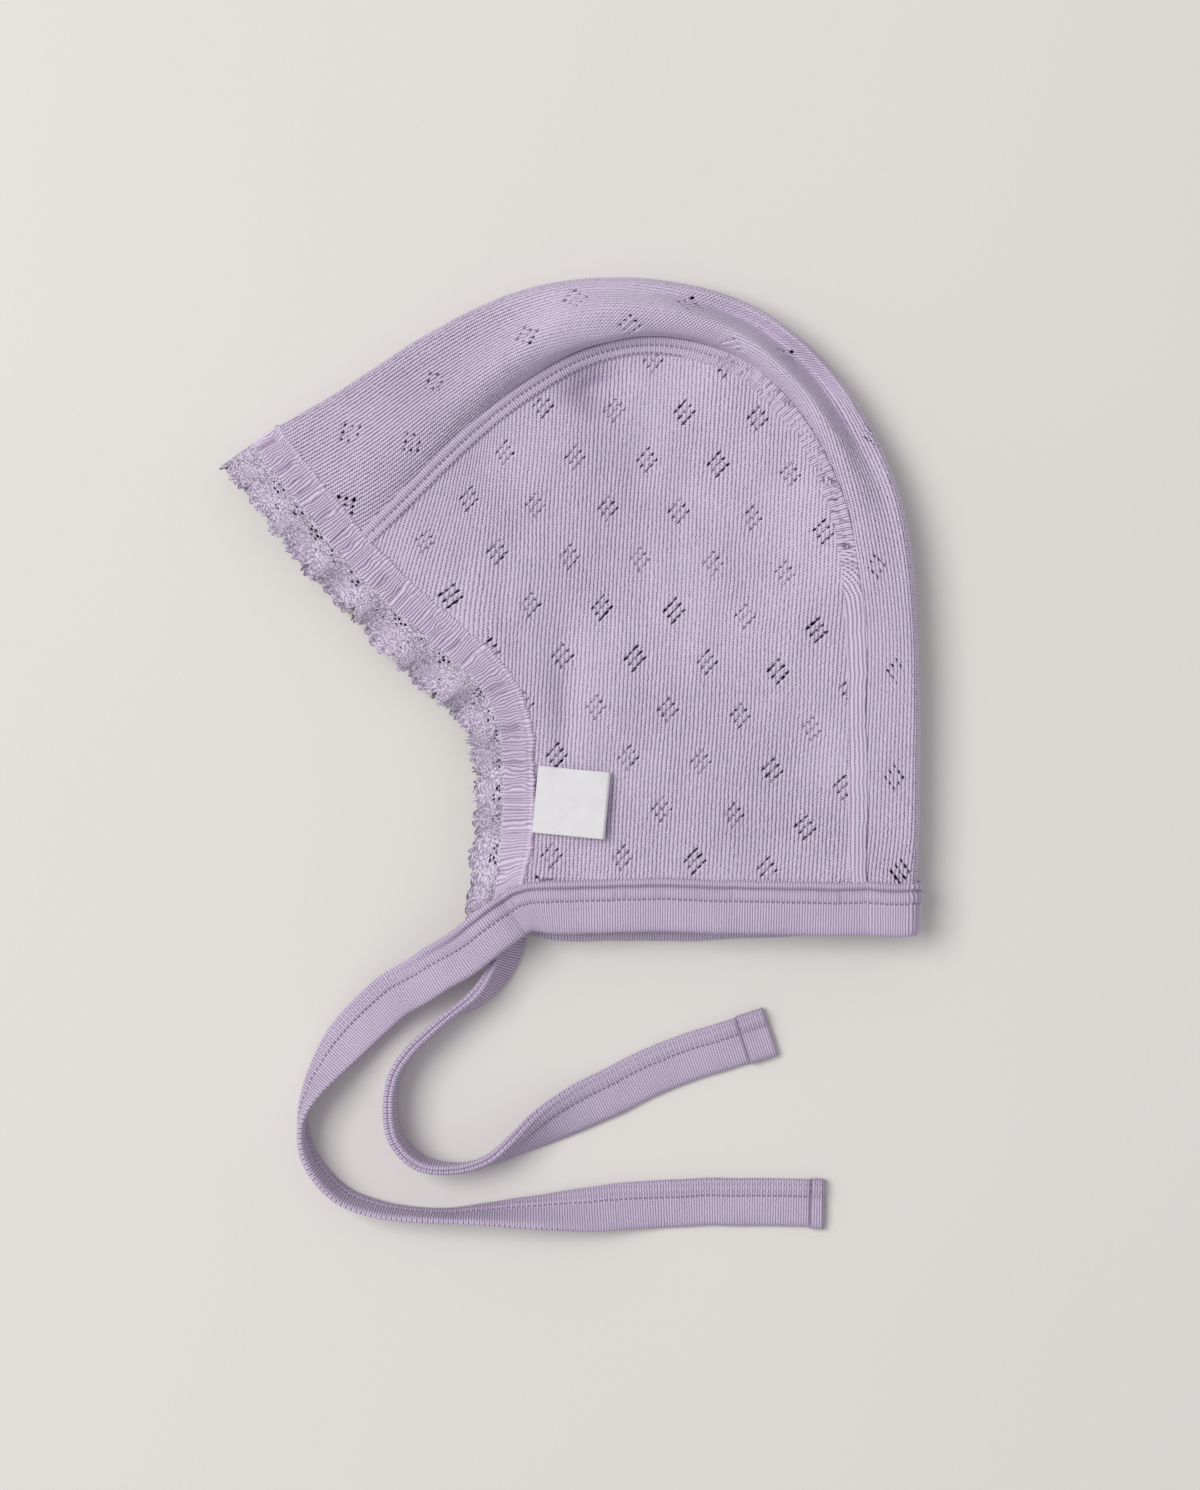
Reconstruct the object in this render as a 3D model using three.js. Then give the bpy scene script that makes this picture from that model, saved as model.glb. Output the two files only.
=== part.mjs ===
// A baby's bonnet of pointelle knit, laid on its side on a table: two side panels joined by one crown
// strip that runs from the forehead over the head to the nape, a gathered lace edging round the face,
// and one folded tape that binds the neck edge and runs on into two ties. The wearer's left side is up.
// Millimetres, +Z up. The origin is on the table under the middle of the side panels; -X is towards
// the forehead and +Y towards the crown.
import * as THREE from "three";

// Driving dimensions
const DEPTH = 153.8; // back fold to forehead fold
const HEIGHT = 145.4; // neck binding's upper edge to the top of the crown
const CENTRE_TO_BACK = 54.6; // origin to the back fold
const CENTRE_TO_NECK = 59; // origin to the neck binding's upper edge
const PUFF = 17; // height of the crown strip's ridge above the table
const STRIP = 33; // half of the crown strip at the forehead, as it lies
const CLOTH = 1.2; // the knit
const SEWN_GAP = 0.3; // left between pieces that are sewn together
const FOLD_ROUND = 2.6; // how far in from the fold the strip turns over
const PANEL_SAG = 2.2; // how far the upper side panel sinks between its seams
const TAPE_WIDTH = 11.4; // folded binding tape, also the ties
const TAPE_THICK = 2.2;
const FLANGE = 4.5; // depth of the slot that the tape's two layers leave for the knit
const FLANGE_THICK = 1; // one layer of the tape over the slot
const NECK_LIFT = 1.9; // the upper neck edge lies this much higher than the lower one
const FACE_STAND = 12; // height of the upper face edge above the table at the neck corner
const HEADING = 6.4; // lace heading, the shirred band along the face edge
const HEADING_THICK = 1.6;
const SHIRR = 0.3; // height of the heading's gathers
const RUFFLE = 9.4; // free lace beyond the heading
const LACE_THICK = 1;
const SCALLOPS = 39; // along the whole face edge
const SCALLOP_DEEP = 1.3;
const RUFFLE_WAVES = 23;
const RUFFLE_WAVE = 0.9; // height of the ruffle's waves at its edge
const RUFFLE_DROOP = 1.3; // how far the upper ruffle hangs below the heading
const TIE_REACH = 72; // how far below the neck corner the longer tie's loop lies
const LABEL = { wide: 17.3, high: 15.8, thick: 1, lift: 2.2, turn: -5.4, up: 0.145, clear: 1.2 };

// Rows of the crown strip from the forehead to the nape: back and up place the fold as shares of DEPTH
// and HEIGHT, wide is the distance to the seam as a share of STRIP, turn the compass of the section in
// degrees, and seam, ridge, dip and brow are heights as shares of PUFF. ridgeAt and dipAt are shares
// of the way from the fold to the seam.
const CROWN_ROWS = [
  { back: 1.0, up: 0.751, wide: 0.985, turn: -51.5, seam: 0.61, ridge: 0.64, ridgeAt: 0.62, dip: 0.62, dipAt: 0.32, brow: 0.5 },
  { back: 0.902, up: 0.81, wide: 0.86, turn: -57, seam: 0.66, ridge: 0.74, ridgeAt: 0.66, dip: 0.68, dipAt: 0.36, brow: 0.56 },
  { back: 0.776, up: 0.897, wide: 0.735, turn: -61, seam: 0.72, ridge: 0.88, ridgeAt: 0.68, dip: 0.74, dipAt: 0.38, brow: 0.62 },
  { back: 0.651, up: 0.965, wide: 0.633, turn: -69.5, seam: 0.72, ridge: 0.98, ridgeAt: 0.66, dip: 0.82, dipAt: 0.36, brow: 0.66 },
  { back: 0.527, up: 0.997, wide: 0.515, turn: -83, seam: 0.7, ridge: 1.0, ridgeAt: 0.56, dip: 0.88, dipAt: 0.3, brow: 0.68 },
  { back: 0.402, up: 0.995, wide: 0.42, turn: -97, seam: 0.7, ridge: 0.99, ridgeAt: 0.56, dip: 0.86, dipAt: 0.3, brow: 0.66 },
  { back: 0.277, up: 0.962, wide: 0.4, turn: -113, seam: 0.74, ridge: 0.96, ridgeAt: 0.62, dip: 0.78, dipAt: 0.36, brow: 0.66 },
  { back: 0.184, up: 0.899, wide: 0.393, turn: -130.5, seam: 0.78, ridge: 0.94, ridgeAt: 0.64, dip: 0.74, dipAt: 0.38, brow: 0.66 },
  { back: 0.105, up: 0.805, wide: 0.393, turn: -147, seam: 0.8, ridge: 0.92, ridgeAt: 0.64, dip: 0.74, dipAt: 0.38, brow: 0.64 },
  { back: 0.043, up: 0.678, wide: 0.403, turn: -159, seam: 0.8, ridge: 0.9, ridgeAt: 0.64, dip: 0.78, dipAt: 0.36, brow: 0.62 },
  { back: 0.015, up: 0.562, wide: 0.412, turn: -170, seam: 0.8, ridge: 0.86, ridgeAt: 0.64, dip: 0.8, dipAt: 0.34, brow: 0.6 },
  { back: 0.002, up: 0.405, wide: 0.41, turn: -179, seam: 0.79, ridge: 0.83, ridgeAt: 0.66, dip: 0.79, dipAt: 0.34, brow: 0.58 },
  { back: 0.0, up: 0.2, wide: 0.41, turn: -180, seam: 0.77, ridge: 0.79, ridgeAt: 0.68, dip: 0.76, dipAt: 0.34, brow: 0.56 },
  { back: 0.003, up: 0.0, wide: 0.388, turn: -180, seam: 0.735, ridge: 0.735, ridgeAt: 0.68, dip: 0.7, dipAt: 0.34, brow: 0.54 },
];

// Rows of the face edge from the neck corner up to the crown seam: back and up are shares of DEPTH and
// HEIGHT, out the compass in degrees in which the lace points, stand a share of FACE_STAND, and spread
// the share of its width that the ruffle shows.
const FACE_ROWS = [
  { back: 0.619, up: 0.012, out: 207, stand: 1.0, spread: 0.78 },
  { back: 0.606, up: 0.076, out: 183, stand: 0.98, spread: 0.74 },
  { back: 0.603, up: 0.158, out: 180, stand: 0.93, spread: 0.74 },
  { back: 0.606, up: 0.241, out: 184, stand: 0.87, spread: 0.8 },
  { back: 0.62, up: 0.307, out: 200, stand: 0.82, spread: 0.95 },
  { back: 0.652, up: 0.363, out: 216, stand: 0.8, spread: 1.02 },
  { back: 0.698, up: 0.406, out: 225, stand: 0.8, spread: 1.04 },
  { back: 0.761, up: 0.463, out: 227, stand: 0.82, spread: 1.0 },
  { back: 0.816, up: 0.518, out: 225, stand: 0.86, spread: 0.95 },
  { back: 0.869, up: 0.576, out: 220, stand: 0.91, spread: 0.95 },
];
const FOREHEAD = { out: 214, spread: 1.06 }; // the same two values where the edging turns over

// Rows of the neck edge from the neck corner to the nape seam: back as a share of DEPTH, sink as a
// share of TAPE_WIDTH.
const NECK_ROWS = [
  { back: 0.652, sink: 0.36 },
  { back: 0.634, sink: 0.18 },
  { back: 0.613, sink: 0.085 },
  { back: 0.58, sink: 0.03 },
  { back: 0.5, sink: 0.0 },
  { back: 0.34, sink: 0.0 },
  { back: 0.2, sink: 0.04 },
  { back: 0.1, sink: 0.09 },
];

// Soft dents and swells of the upper side panel: place in shares of DEPTH and HEIGHT, half-lengths
// across and along in the same shares, and height as a share of CLOTH.
const PANEL_DENTS = [
  { back: 0.545, up: 0.81, wide: 0.06, high: 0.05, rise: -1.3 },
  { back: 0.545, up: 0.3, wide: 0.022, high: 0.12, rise: -1.2 },
  { back: 0.6, up: 0.3, wide: 0.02, high: 0.1, rise: 0.7 },
  { back: 0.25, up: 0.5, wide: 0.1, high: 0.16, rise: 0.6 },
  { back: 0.13, up: 0.3, wide: 0.018, high: 0.26, rise: 0.5 },
  { back: 0.46, up: 0.1, wide: 0.1, high: 0.06, rise: -0.5 },
];

// Routes of the ties from the neck corner: ahead and down are shares of TIE_REACH, lean the turn of
// the tape about its run in degrees, 0 lying on its first face and 180 on its other, and lifted the
// share of its height at the neck corner that the tape still has.
const LEFT_TIE_ROWS = [
  { ahead: 0, down: 0, lean: 0, lifted: 1 },
  { ahead: 0.04, down: 0.025, lean: 3, lifted: 1.14 },
  { ahead: 0.095, down: 0.065, lean: 5, lifted: 1.18 },
  { ahead: 0.17, down: 0.125, lean: 6, lifted: 1.1 },
  { ahead: 0.25, down: 0.175, lean: 7, lifted: 0.95 },
  { ahead: 0.33, down: 0.225, lean: 8, lifted: 0.75 },
  { ahead: 0.4, down: 0.27, lean: 9, lifted: 0.55 },
  { ahead: 0.48, down: 0.34, lean: 14, lifted: 0.3 },
  { ahead: 0.55, down: 0.415, lean: 26, lifted: 0.12 },
  { ahead: 0.615, down: 0.5, lean: 50, lifted: 0 },
  { ahead: 0.67, down: 0.59, lean: 72, lifted: 0 },
  { ahead: 0.7, down: 0.68, lean: 87, lifted: 0 },
  { ahead: 0.69, down: 0.775, lean: 95, lifted: 0 },
  { ahead: 0.645, down: 0.86, lean: 99, lifted: 0 },
  { ahead: 0.565, down: 0.935, lean: 100, lifted: 0 },
  { ahead: 0.46, down: 0.975, lean: 98, lifted: 0 },
  { ahead: 0.34, down: 0.995, lean: 94, lifted: 0 },
  { ahead: 0.225, down: 1, lean: 95, lifted: 0 },
  { ahead: 0.11, down: 0.995, lean: 103, lifted: 0 },
  { ahead: -0.025, down: 0.99, lean: 117, lifted: 0 },
  { ahead: -0.155, down: 0.985, lean: 132, lifted: 0 },
  { ahead: -0.32, down: 0.975, lean: 160, lifted: 0 },
  { ahead: -0.505, down: 0.965, lean: 180, lifted: 0 },
  { ahead: -0.74, down: 0.96, lean: 180, lifted: 0 },
  { ahead: -1.035, down: 0.965, lean: 180, lifted: 0 },
];
const RIGHT_TIE_ROWS = [
  { ahead: 0, down: 0, lean: 0, lifted: 1 },
  { ahead: 0.03, down: 0, lean: -25, lifted: 0.6 },
  { ahead: 0.055, down: 0.015, lean: -45, lifted: 0.2 },
  { ahead: 0.07, down: 0.055, lean: -47, lifted: 0 },
  { ahead: 0.075, down: 0.11, lean: -47, lifted: 0 },
  { ahead: 0.085, down: 0.18, lean: -50, lifted: 0 },
  { ahead: 0.115, down: 0.245, lean: -58, lifted: 0 },
  { ahead: 0.165, down: 0.3, lean: -70, lifted: 0 },
  { ahead: 0.27, down: 0.385, lean: -84, lifted: 0 },
  { ahead: 0.355, down: 0.47, lean: -85, lifted: 0 },
  { ahead: 0.41, down: 0.555, lean: -85, lifted: 0 },
  { ahead: 0.425, down: 0.66, lean: -84, lifted: 0 },
  { ahead: 0.405, down: 0.765, lean: -83, lifted: 0 },
  { ahead: 0.33, down: 0.84, lean: -84, lifted: 0 },
  { ahead: 0.22, down: 0.86, lean: -90, lifted: 0 },
  { ahead: 0.105, down: 0.84, lean: -100, lifted: 0 },
  { ahead: 0.005, down: 0.785, lean: -118, lifted: 0 },
  { ahead: -0.105, down: 0.715, lean: -146, lifted: 0 },
  { ahead: -0.285, down: 0.625, lean: -176, lifted: 0 },
  { ahead: -0.5, down: 0.525, lean: -180, lifted: 0 },
  { ahead: -0.81, down: 0.42, lean: -180, lifted: 0 },
];

// How finely the pieces are faceted
const CROWN_STEPS = 40;
const CROWN_ACROSS = 13;
const PANEL_STEPS = 17;
const HEADING_STEPS = 168;
const CELLS_PER_SCALLOP = 4;
const RUFFLE_ROWS = 3;
const NECK_STEPS = 18;
const TIE_STEPS = 46;

const material = (hex, roughness) => new THREE.MeshStandardMaterial({ color: hex, roughness, metalness: 0 });
const KNIT = material(0xb9a6cc, 0.95);
const TAPE = material(0xb3a0c8, 0.92);
const LACE = material(0xbdaccf, 0.9);
const SATIN = material(0xe9e8ec, 0.6);

const radians = THREE.MathUtils.degToRad;
const smooth = THREE.MathUtils.smoothstep;
const point = (x, y, z) => new THREE.Vector3(x, y, z);
const compass = (degrees) => point(Math.cos(radians(degrees)), Math.sin(radians(degrees)), 0);
const atBack = (back) => CENTRE_TO_BACK - back * DEPTH;
const atUp = (up) => up * HEIGHT - CENTRE_TO_NECK;

// The value of one column part of the way (0 to 1) through a table, on a Catmull-Rom spline.
function between(rows, column, way) {
  const last = rows.length - 1;
  const place = THREE.MathUtils.clamp(way, 0, 1) * last;
  const i = Math.min(Math.floor(place), last - 1);
  const f = place - i;
  const b = rows[i][column];
  const c = rows[i + 1][column];
  const a = i > 0 ? rows[i - 1][column] : 2 * b - c;
  const d = i + 1 < last ? rows[i + 2][column] : 2 * c - b;
  return b + 0.5 * f * (c - a + f * (2 * a - 5 * b + 4 * c - d + f * (3 * (b - c) + d - a)));
}

// The way through a table at which a column has a given value, the column running one way only.
function wayTo(rows, column, value) {
  const falling = rows[0][column] > rows[rows.length - 1][column];
  let low = 0;
  let high = 1;
  for (let i = 0; i < 40; i++) {
    const middle = (low + high) / 2;
    if (between(rows, column, middle) > value === falling) low = middle;
    else high = middle;
  }
  return low;
}

// Meshes from lists of points
function closedMesh(name, vertices, triangles, finish) {
  const geometry = new THREE.BufferGeometry().setFromPoints(vertices).setIndex(triangles);
  geometry.computeVertexNormals();
  const mesh = new THREE.Mesh(geometry, finish);
  mesh.name = name;
  return mesh;
}

// A sheet of cloth: outer(i, j) and inner(i, j) give its two faces, and holes(i, j) leaves cells out.
function sheet(name, rows, columns, outer, inner, finish, holes = () => false) {
  const vertices = [];
  for (const face of [outer, inner])
    for (let i = 0; i <= rows; i++) for (let j = 0; j <= columns; j++) vertices.push(face(i, j));
  const at = (face, i, j) => face * (rows + 1) * (columns + 1) + i * (columns + 1) + j;
  const solid = (i, j) => i >= 0 && j >= 0 && i < rows && j < columns && !holes(i, j);
  const triangles = [];
  const quad = (a, b, c, d) => triangles.push(a, b, c, a, c, d);
  for (let i = 0; i < rows; i++)
    for (let j = 0; j < columns; j++) {
      if (!solid(i, j)) continue;
      quad(at(0, i, j), at(0, i + 1, j), at(0, i + 1, j + 1), at(0, i, j + 1));
      quad(at(1, i, j), at(1, i, j + 1), at(1, i + 1, j + 1), at(1, i + 1, j));
      if (!solid(i - 1, j)) quad(at(0, i, j), at(0, i, j + 1), at(1, i, j + 1), at(1, i, j));
      if (!solid(i + 1, j)) quad(at(0, i + 1, j + 1), at(0, i + 1, j), at(1, i + 1, j), at(1, i + 1, j + 1));
      if (!solid(i, j - 1)) quad(at(0, i + 1, j), at(0, i, j), at(1, i, j), at(1, i + 1, j));
      if (!solid(i, j + 1)) quad(at(0, i, j + 1), at(0, i + 1, j + 1), at(1, i + 1, j + 1), at(1, i, j + 1));
    }
  return closedMesh(name, vertices, triangles, finish);
}

// A tape: the same closed section carried along stations that each place a section point.
function loft(name, section, stations, finish) {
  const vertices = stations.flatMap((place) => section.map((p) => place(p)));
  const count = section.length;
  const last = (stations.length - 1) * count;
  const triangles = [];
  for (let i = 0; i + 1 < stations.length; i++)
    for (let k = 0; k < count; k++) {
      const a = i * count + k;
      const b = i * count + ((k + 1) % count);
      triangles.push(a, b + count, b, a, a + count, b + count);
    }
  for (const [a, b, c] of THREE.ShapeUtils.triangulateShape(section, [])) {
    triangles.push(a, b, c);
    triangles.push(last + a, last + c, last + b);
  }
  return closedMesh(name, vertices, triangles, finish);
}

// Crown strip: one section from the upper seam over the ridge, round the fold and under to the lower
// seam. across is the distance in from the fold and z the height, both on the outer face.
function crownSection(way) {
  const value = (column) => between(CROWN_ROWS, column, way);
  const wide = value("wide") * STRIP;
  const inward = compass(value("turn"));
  const fold = point(atBack(value("back")), atUp(value("up")), 0);
  const brow = value("brow") * PUFF;
  const lift = underLift(fold.y);
  const turned = Math.min(FOLD_ROUND, wide / 4);
  const profile = new THREE.SplineCurve(
    [
      [wide, value("seam") * PUFF],
      [wide * value("ridgeAt"), value("ridge") * PUFF],
      [wide * value("dipAt"), value("dip") * PUFF],
      [turned * 0.6, brow],
      [turned * 0.08, (brow + lift) / 2],
      [turned * 0.65, lift + turned * 0.3],
      [wide * 0.5, lift],
      [wide, lift],
    ].map(([across, z]) => new THREE.Vector2(across, z)),
  );
  return { fold, inward, wide, profile, lift };
}

// How far the cloth underneath is held off the table by the binding's outer layer.
function underLift(y) {
  const lift = FLANGE_THICK + SEWN_GAP;
  const clear = atUp(0) + NECK_LIFT + SEWN_GAP;
  return lift * (1 - smooth(y, clear, clear + TAPE_WIDTH));
}

// Points on a section's outer face, from one seam to the other, with the normals that point out.
function sectionPoints(section, count) {
  const made = [];
  for (let j = 0; j <= count; j++) {
    const p = section.profile.getPointAt(j / count);
    const run = section.profile.getTangentAt(j / count);
    p.y = Math.max(p.y, section.lift);
    const settled = p.y === section.lift;
    made.push({ across: p.x, z: p.y, normal: settled ? [0, -1] : [-Math.abs(run.y) * Math.sign(-run.y), -run.x] });
  }
  return made;
}

// A place on a section, depth below its outer face.
function onSection(section, p, depth) {
  const across = p.across - p.normal[0] * depth;
  const z = p.z - p.normal[1] * depth;
  return section.fold.clone().addScaledVector(section.inward, across).setZ(z);
}

function crownStrip() {
  const tuckWay = FLANGE - SEWN_GAP;
  const sections = [];
  for (let i = 0; i <= CROWN_STEPS; i++) {
    const section = crownSection(i / CROWN_STEPS);
    sections.push({ section, points: sectionPoints(section, CROWN_ACROSS), tuck: 0 });
  }
  sections.push({ ...sections[CROWN_STEPS], tuck: tuckWay });
  const face = (depth) => (i, j) => {
    const { section, points, tuck } = sections[i];
    const p = { ...points[j] };
    if (j === 0 || j === CROWN_ACROSS) p.across -= SEWN_GAP / 2;
    return onSection(section, p, depth).add(point(0, -tuck, 0));
  };
  return sheet("crown_strip", CROWN_STEPS + 1, CROWN_ACROSS, face(0), face(CLOTH), KNIT);
}

// Seam of the crown strip with a side panel: upper is the side that lies on top.
function seamPoint(way, upper) {
  const section = crownSection(way);
  const p = section.fold.clone().addScaledVector(section.inward, section.wide + SEWN_GAP / 2);
  return p.setZ(upper ? between(CROWN_ROWS, "seam", way) * PUFF : section.lift);
}

// Face edge from the neck corner (0) to the crown seam (1)
function facePoint(way, upper) {
  const p = point(atBack(between(FACE_ROWS, "back", way)), atUp(between(FACE_ROWS, "up", way)), 0);
  const stand = between(FACE_ROWS, "stand", way) * FACE_STAND;
  return p.setZ(upper ? stand : underLift(p.y));
}

// Neck edge, the binding's upper edge, from the neck corner (0) to the nape seam (1). The last row of
// the crown strip ends it.
const nape = crownSection(1);
const NECK_TABLE = [
  ...NECK_ROWS,
  { back: (CENTRE_TO_BACK - nape.fold.x + nape.wide) / DEPTH, sink: 0.0 + NECK_LIFT / TAPE_WIDTH },
];
function neckPoint(way, upper) {
  const sink = between(NECK_TABLE, "sink", way) * TAPE_WIDTH;
  const drop = upper ? 0 : NECK_LIFT * Math.sin(Math.PI * Math.min(1, (1 - way) * 1.25)) * (way > 0.2 ? 1 : way * 5);
  const cornerZ = FACE_ROWS[0].stand * FACE_STAND;
  const napeZ = between(CROWN_ROWS, "seam", 1) * PUFF;
  const z = upper ? THREE.MathUtils.lerp(cornerZ, napeZ, smooth(way, 0.15, 0.95)) : underLift(-Infinity);
  return point(atBack(between(NECK_TABLE, "back", way)), atUp(0) + NECK_LIFT - sink - drop, z);
}

// Side panels: a patch between the neck edge, the face edge and the two stretches of the crown seam.
const PANEL_CORNER = 0.55; // way along the crown seam where the patch has its fourth corner
function panelPoint(u, v, upper) {
  const inset = (way) => compass(between(FACE_ROWS, "out", way)).multiplyScalar(-SEWN_GAP);
  const neckBack = (s) => THREE.MathUtils.lerp(FACE_ROWS[0].back, NECK_TABLE[NECK_TABLE.length - 1].back, s);
  const low = (s) => neckPoint(wayTo(NECK_TABLE, "back", neckBack(s)), upper);
  const front = (s) => (s === 0 ? low(0) : facePoint(s, upper).add(inset(s)));
  const back = (s) => seamPoint(THREE.MathUtils.lerp(1, PANEL_CORNER, s), upper);
  const top = (s) => seamPoint(THREE.MathUtils.lerp(0.012, PANEL_CORNER, s), upper);
  const blend = (a, b, s) => a.clone().lerp(b, s);
  const corners = blend(blend(low(0), low(1), u), blend(top(0), top(1), u), v);
  const patch = blend(low(u), top(u), v).add(blend(front(v), back(v), u)).sub(corners);
  if (upper) patch.z += upperRelief(patch.x, patch.y, u, v);
  else patch.z = underLift(patch.y);
  return patch;
}

// The sag and the soft folds of the upper panel, none of them at its edges.
function upperRelief(x, y, u, v) {
  const inside = Math.min(1, 5 * u) * Math.min(1, 6 * (1 - u)) * smooth(v, 0.03, 0.2) * Math.min(1, 6 * (1 - v));
  let rise = -PANEL_SAG * 4 * u * (1 - u) * smooth(v, 0.04, 0.5) * smooth(1 - v, 0, 0.5);
  for (const dent of PANEL_DENTS) {
    const across = (x - atBack(dent.back)) / (dent.wide * DEPTH);
    const along = (y - atUp(dent.up)) / (dent.high * HEIGHT);
    rise += inside * dent.rise * CLOTH * Math.exp(-across * across - along * along);
  }
  return rise;
}

function sidePanel(name, upper) {
  const down = upper ? -CLOTH : CLOTH;
  const tucked = (j) => (j === 0 ? -(FLANGE - 2 * SEWN_GAP) : 0);
  const row = (j) => Math.max(0, j - 1) / (PANEL_STEPS - 1);
  const at = (offset) => (i, j) => panelPoint(i / PANEL_STEPS, row(j), upper).add(point(0, tucked(j), offset));
  const faces = upper ? [at(0), at(down)] : [at(down), at(0)];
  return sheet(name, PANEL_STEPS, PANEL_STEPS, ...faces, KNIT);
}

// The face edging's line: up the left side, round the forehead fold and down the right side. Each
// place has the knit's edge, the way that the lace points, the normal that points out, and spread.
const EDGE_TURN = 0.3; // share of the line that lies on the crown strip
function edgePlace(way) {
  const sideWay = (1 - EDGE_TURN) / 2;
  const upper = way < 0.5;
  if (way < sideWay || way > 1 - sideWay) {
    const s = upper ? way / sideWay : (1 - way) / sideWay;
    const edge = facePoint(s, upper);
    const up = upper ? 1 : -1;
    edge.z -= (up * CLOTH) / 2;
    return { edge, out: compass(between(FACE_ROWS, "out", s)), normal: point(0, 0, up), spread: between(FACE_ROWS, "spread", s) };
  }
  const s = (way - sideWay) / EDGE_TURN;
  const section = crownSection(0);
  const p = section.profile.getPointAt(s);
  const run = section.profile.getTangentAt(s);
  p.y = Math.max(p.y, section.lift);
  const bent = p.y === section.lift ? [0, -1] : [run.y, -run.x];
  const place = onSection(section, { across: p.x, z: p.y, normal: bent }, CLOTH / 2);
  const middle = Math.sin(Math.PI * s) ** 2;
  const out = THREE.MathUtils.lerp(FACE_ROWS[FACE_ROWS.length - 1].out, FOREHEAD.out, middle);
  const spread = THREE.MathUtils.lerp(FACE_ROWS[FACE_ROWS.length - 1].spread, FOREHEAD.spread, middle);
  const normal = section.inward.clone().multiplyScalar(bent[0]).setZ(bent[1]);
  return { edge: place, out: compass(out), normal, spread };
}

// How far the edging's own thickness lifts it where it lies on the table.
function edgeLift(place) {
  return Math.max(0, (HEADING_THICK - CLOTH) / 2 + SHIRR) * Math.max(0, -place.normal.z);
}

function laceHeading() {
  const start = 0.004;
  const face = (side) => (i, j) => {
    const place = edgePlace(THREE.MathUtils.lerp(start, 1 - start, i / HEADING_STEPS));
    const gather = i % 2 ? SHIRR : 0;
    const away = side * HEADING_THICK * 0.5 + (side > 0 ? gather : gather - SHIRR);
    return place.edge
      .clone()
      .addScaledVector(place.out, SEWN_GAP / 2 + j * (HEADING - SEWN_GAP))
      .addScaledVector(place.normal, away)
      .add(point(0, 0, edgeLift(place)));
  };
  return sheet("lace_heading", HEADING_STEPS, 1, face(1), face(-1), LACE);
}

// The gathered lace: scallops along its edge, waves that grow outwards, and two rows of eyelets.
function laceRuffle() {
  const stations = SCALLOPS * CELLS_PER_SCALLOP;
  const start = 0.004;
  const face = (side) => (i, j) => {
    const way = i / stations;
    const place = edgePlace(THREE.MathUtils.lerp(start, 1 - start, way));
    const share = j / RUFFLE_ROWS;
    const scallop = Math.abs(Math.sin(Math.PI * SCALLOPS * way)) * SCALLOP_DEEP * (j === RUFFLE_ROWS ? 1 : 0);
    const reach = (RUFFLE - SCALLOP_DEEP) * share * place.spread + scallop;
    const facing = (1 + place.normal.z) / 2;
    const wave = RUFFLE_WAVE * (1 + Math.sin(2 * Math.PI * RUFFLE_WAVES * way)) * share;
    const droop = -RUFFLE_DROOP * share * share * facing;
    const side3 = (side * LACE_THICK) / 2;
    return place.edge
      .clone()
      .addScaledVector(place.out, HEADING + SEWN_GAP / 2 + reach)
      .addScaledVector(place.normal, side3)
      .add(point(0, 0, edgeLift(place) + wave + droop));
  };
  const holes = (i, j) => j === 1 && i % 2 === 1;
  return sheet("lace_ruffle", stations, RUFFLE_ROWS, face(1), face(-1), LACE, holes);
}

// Binding: the tape's section, a pair of layers that hold the knit and a closed hem below. x is the
// way down from the binding's upper edge and y the way out from the middle of the cloth.
const halfSlot = CLOTH / 2 + SEWN_GAP;
const BINDING_SECTION = [
  [0.25, -halfSlot - FLANGE_THICK],
  [FLANGE, -halfSlot - FLANGE_THICK],
  [FLANGE + FLANGE_THICK, -TAPE_THICK / 2],
  [TAPE_WIDTH - TAPE_THICK / 4, -TAPE_THICK / 2],
  [TAPE_WIDTH, 0],
  [TAPE_WIDTH - TAPE_THICK / 4, TAPE_THICK / 2],
  [FLANGE + FLANGE_THICK, TAPE_THICK / 2],
  [FLANGE, halfSlot + FLANGE_THICK],
  [0.25, halfSlot + FLANGE_THICK],
  [0, halfSlot],
  [FLANGE, halfSlot],
  [FLANGE, -halfSlot],
  [0, -halfSlot],
].map(([x, y]) => new THREE.Vector2(x, y));

const UNDER_CORNER = wayTo(NECK_TABLE, "back", 0.622); // where the lower leg ends and its tie turns off

// Stations of the neck edge from the left corner round the nape to the right corner.
function neckStations() {
  const line = [];
  for (let i = 0; i <= NECK_STEPS; i++) {
    const p = neckPoint(i / NECK_STEPS, true);
    line.push({ at: p.setZ(p.z - CLOTH / 2), normal: point(0, 0, 1) });
  }
  const section = crownSection(1);
  const turn = sectionPoints(section, CROWN_ACROSS);
  turn.slice(1, -1).forEach((p) => {
    const at = onSection(section, p, CLOTH / 2);
    const normal = section.inward.clone().multiplyScalar(p.normal[0]).setZ(p.normal[1]);
    line.push({ at: at.setY(neckPoint(1, true).y), normal });
  });
  for (let i = NECK_STEPS; i >= 0; i--) {
    const p = neckPoint(THREE.MathUtils.lerp(UNDER_CORNER, 1, i / NECK_STEPS), false);
    line.push({ at: p.setZ(p.z + CLOTH / 2), normal: point(0, 0, -1) });
  }
  return line.map(({ at, normal }, i) => {
    const run = line[Math.min(i + 1, line.length - 1)].at.clone().sub(line[Math.max(i - 1, 0)].at).normalize();
    const down = run.clone().cross(normal).normalize();
    return { at, down, normal, run };
  });
}
const NECK_LINE = neckStations();
const upperCorner = NECK_LINE[0];
const lowerCorner = NECK_LINE[NECK_LINE.length - 1];

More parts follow.
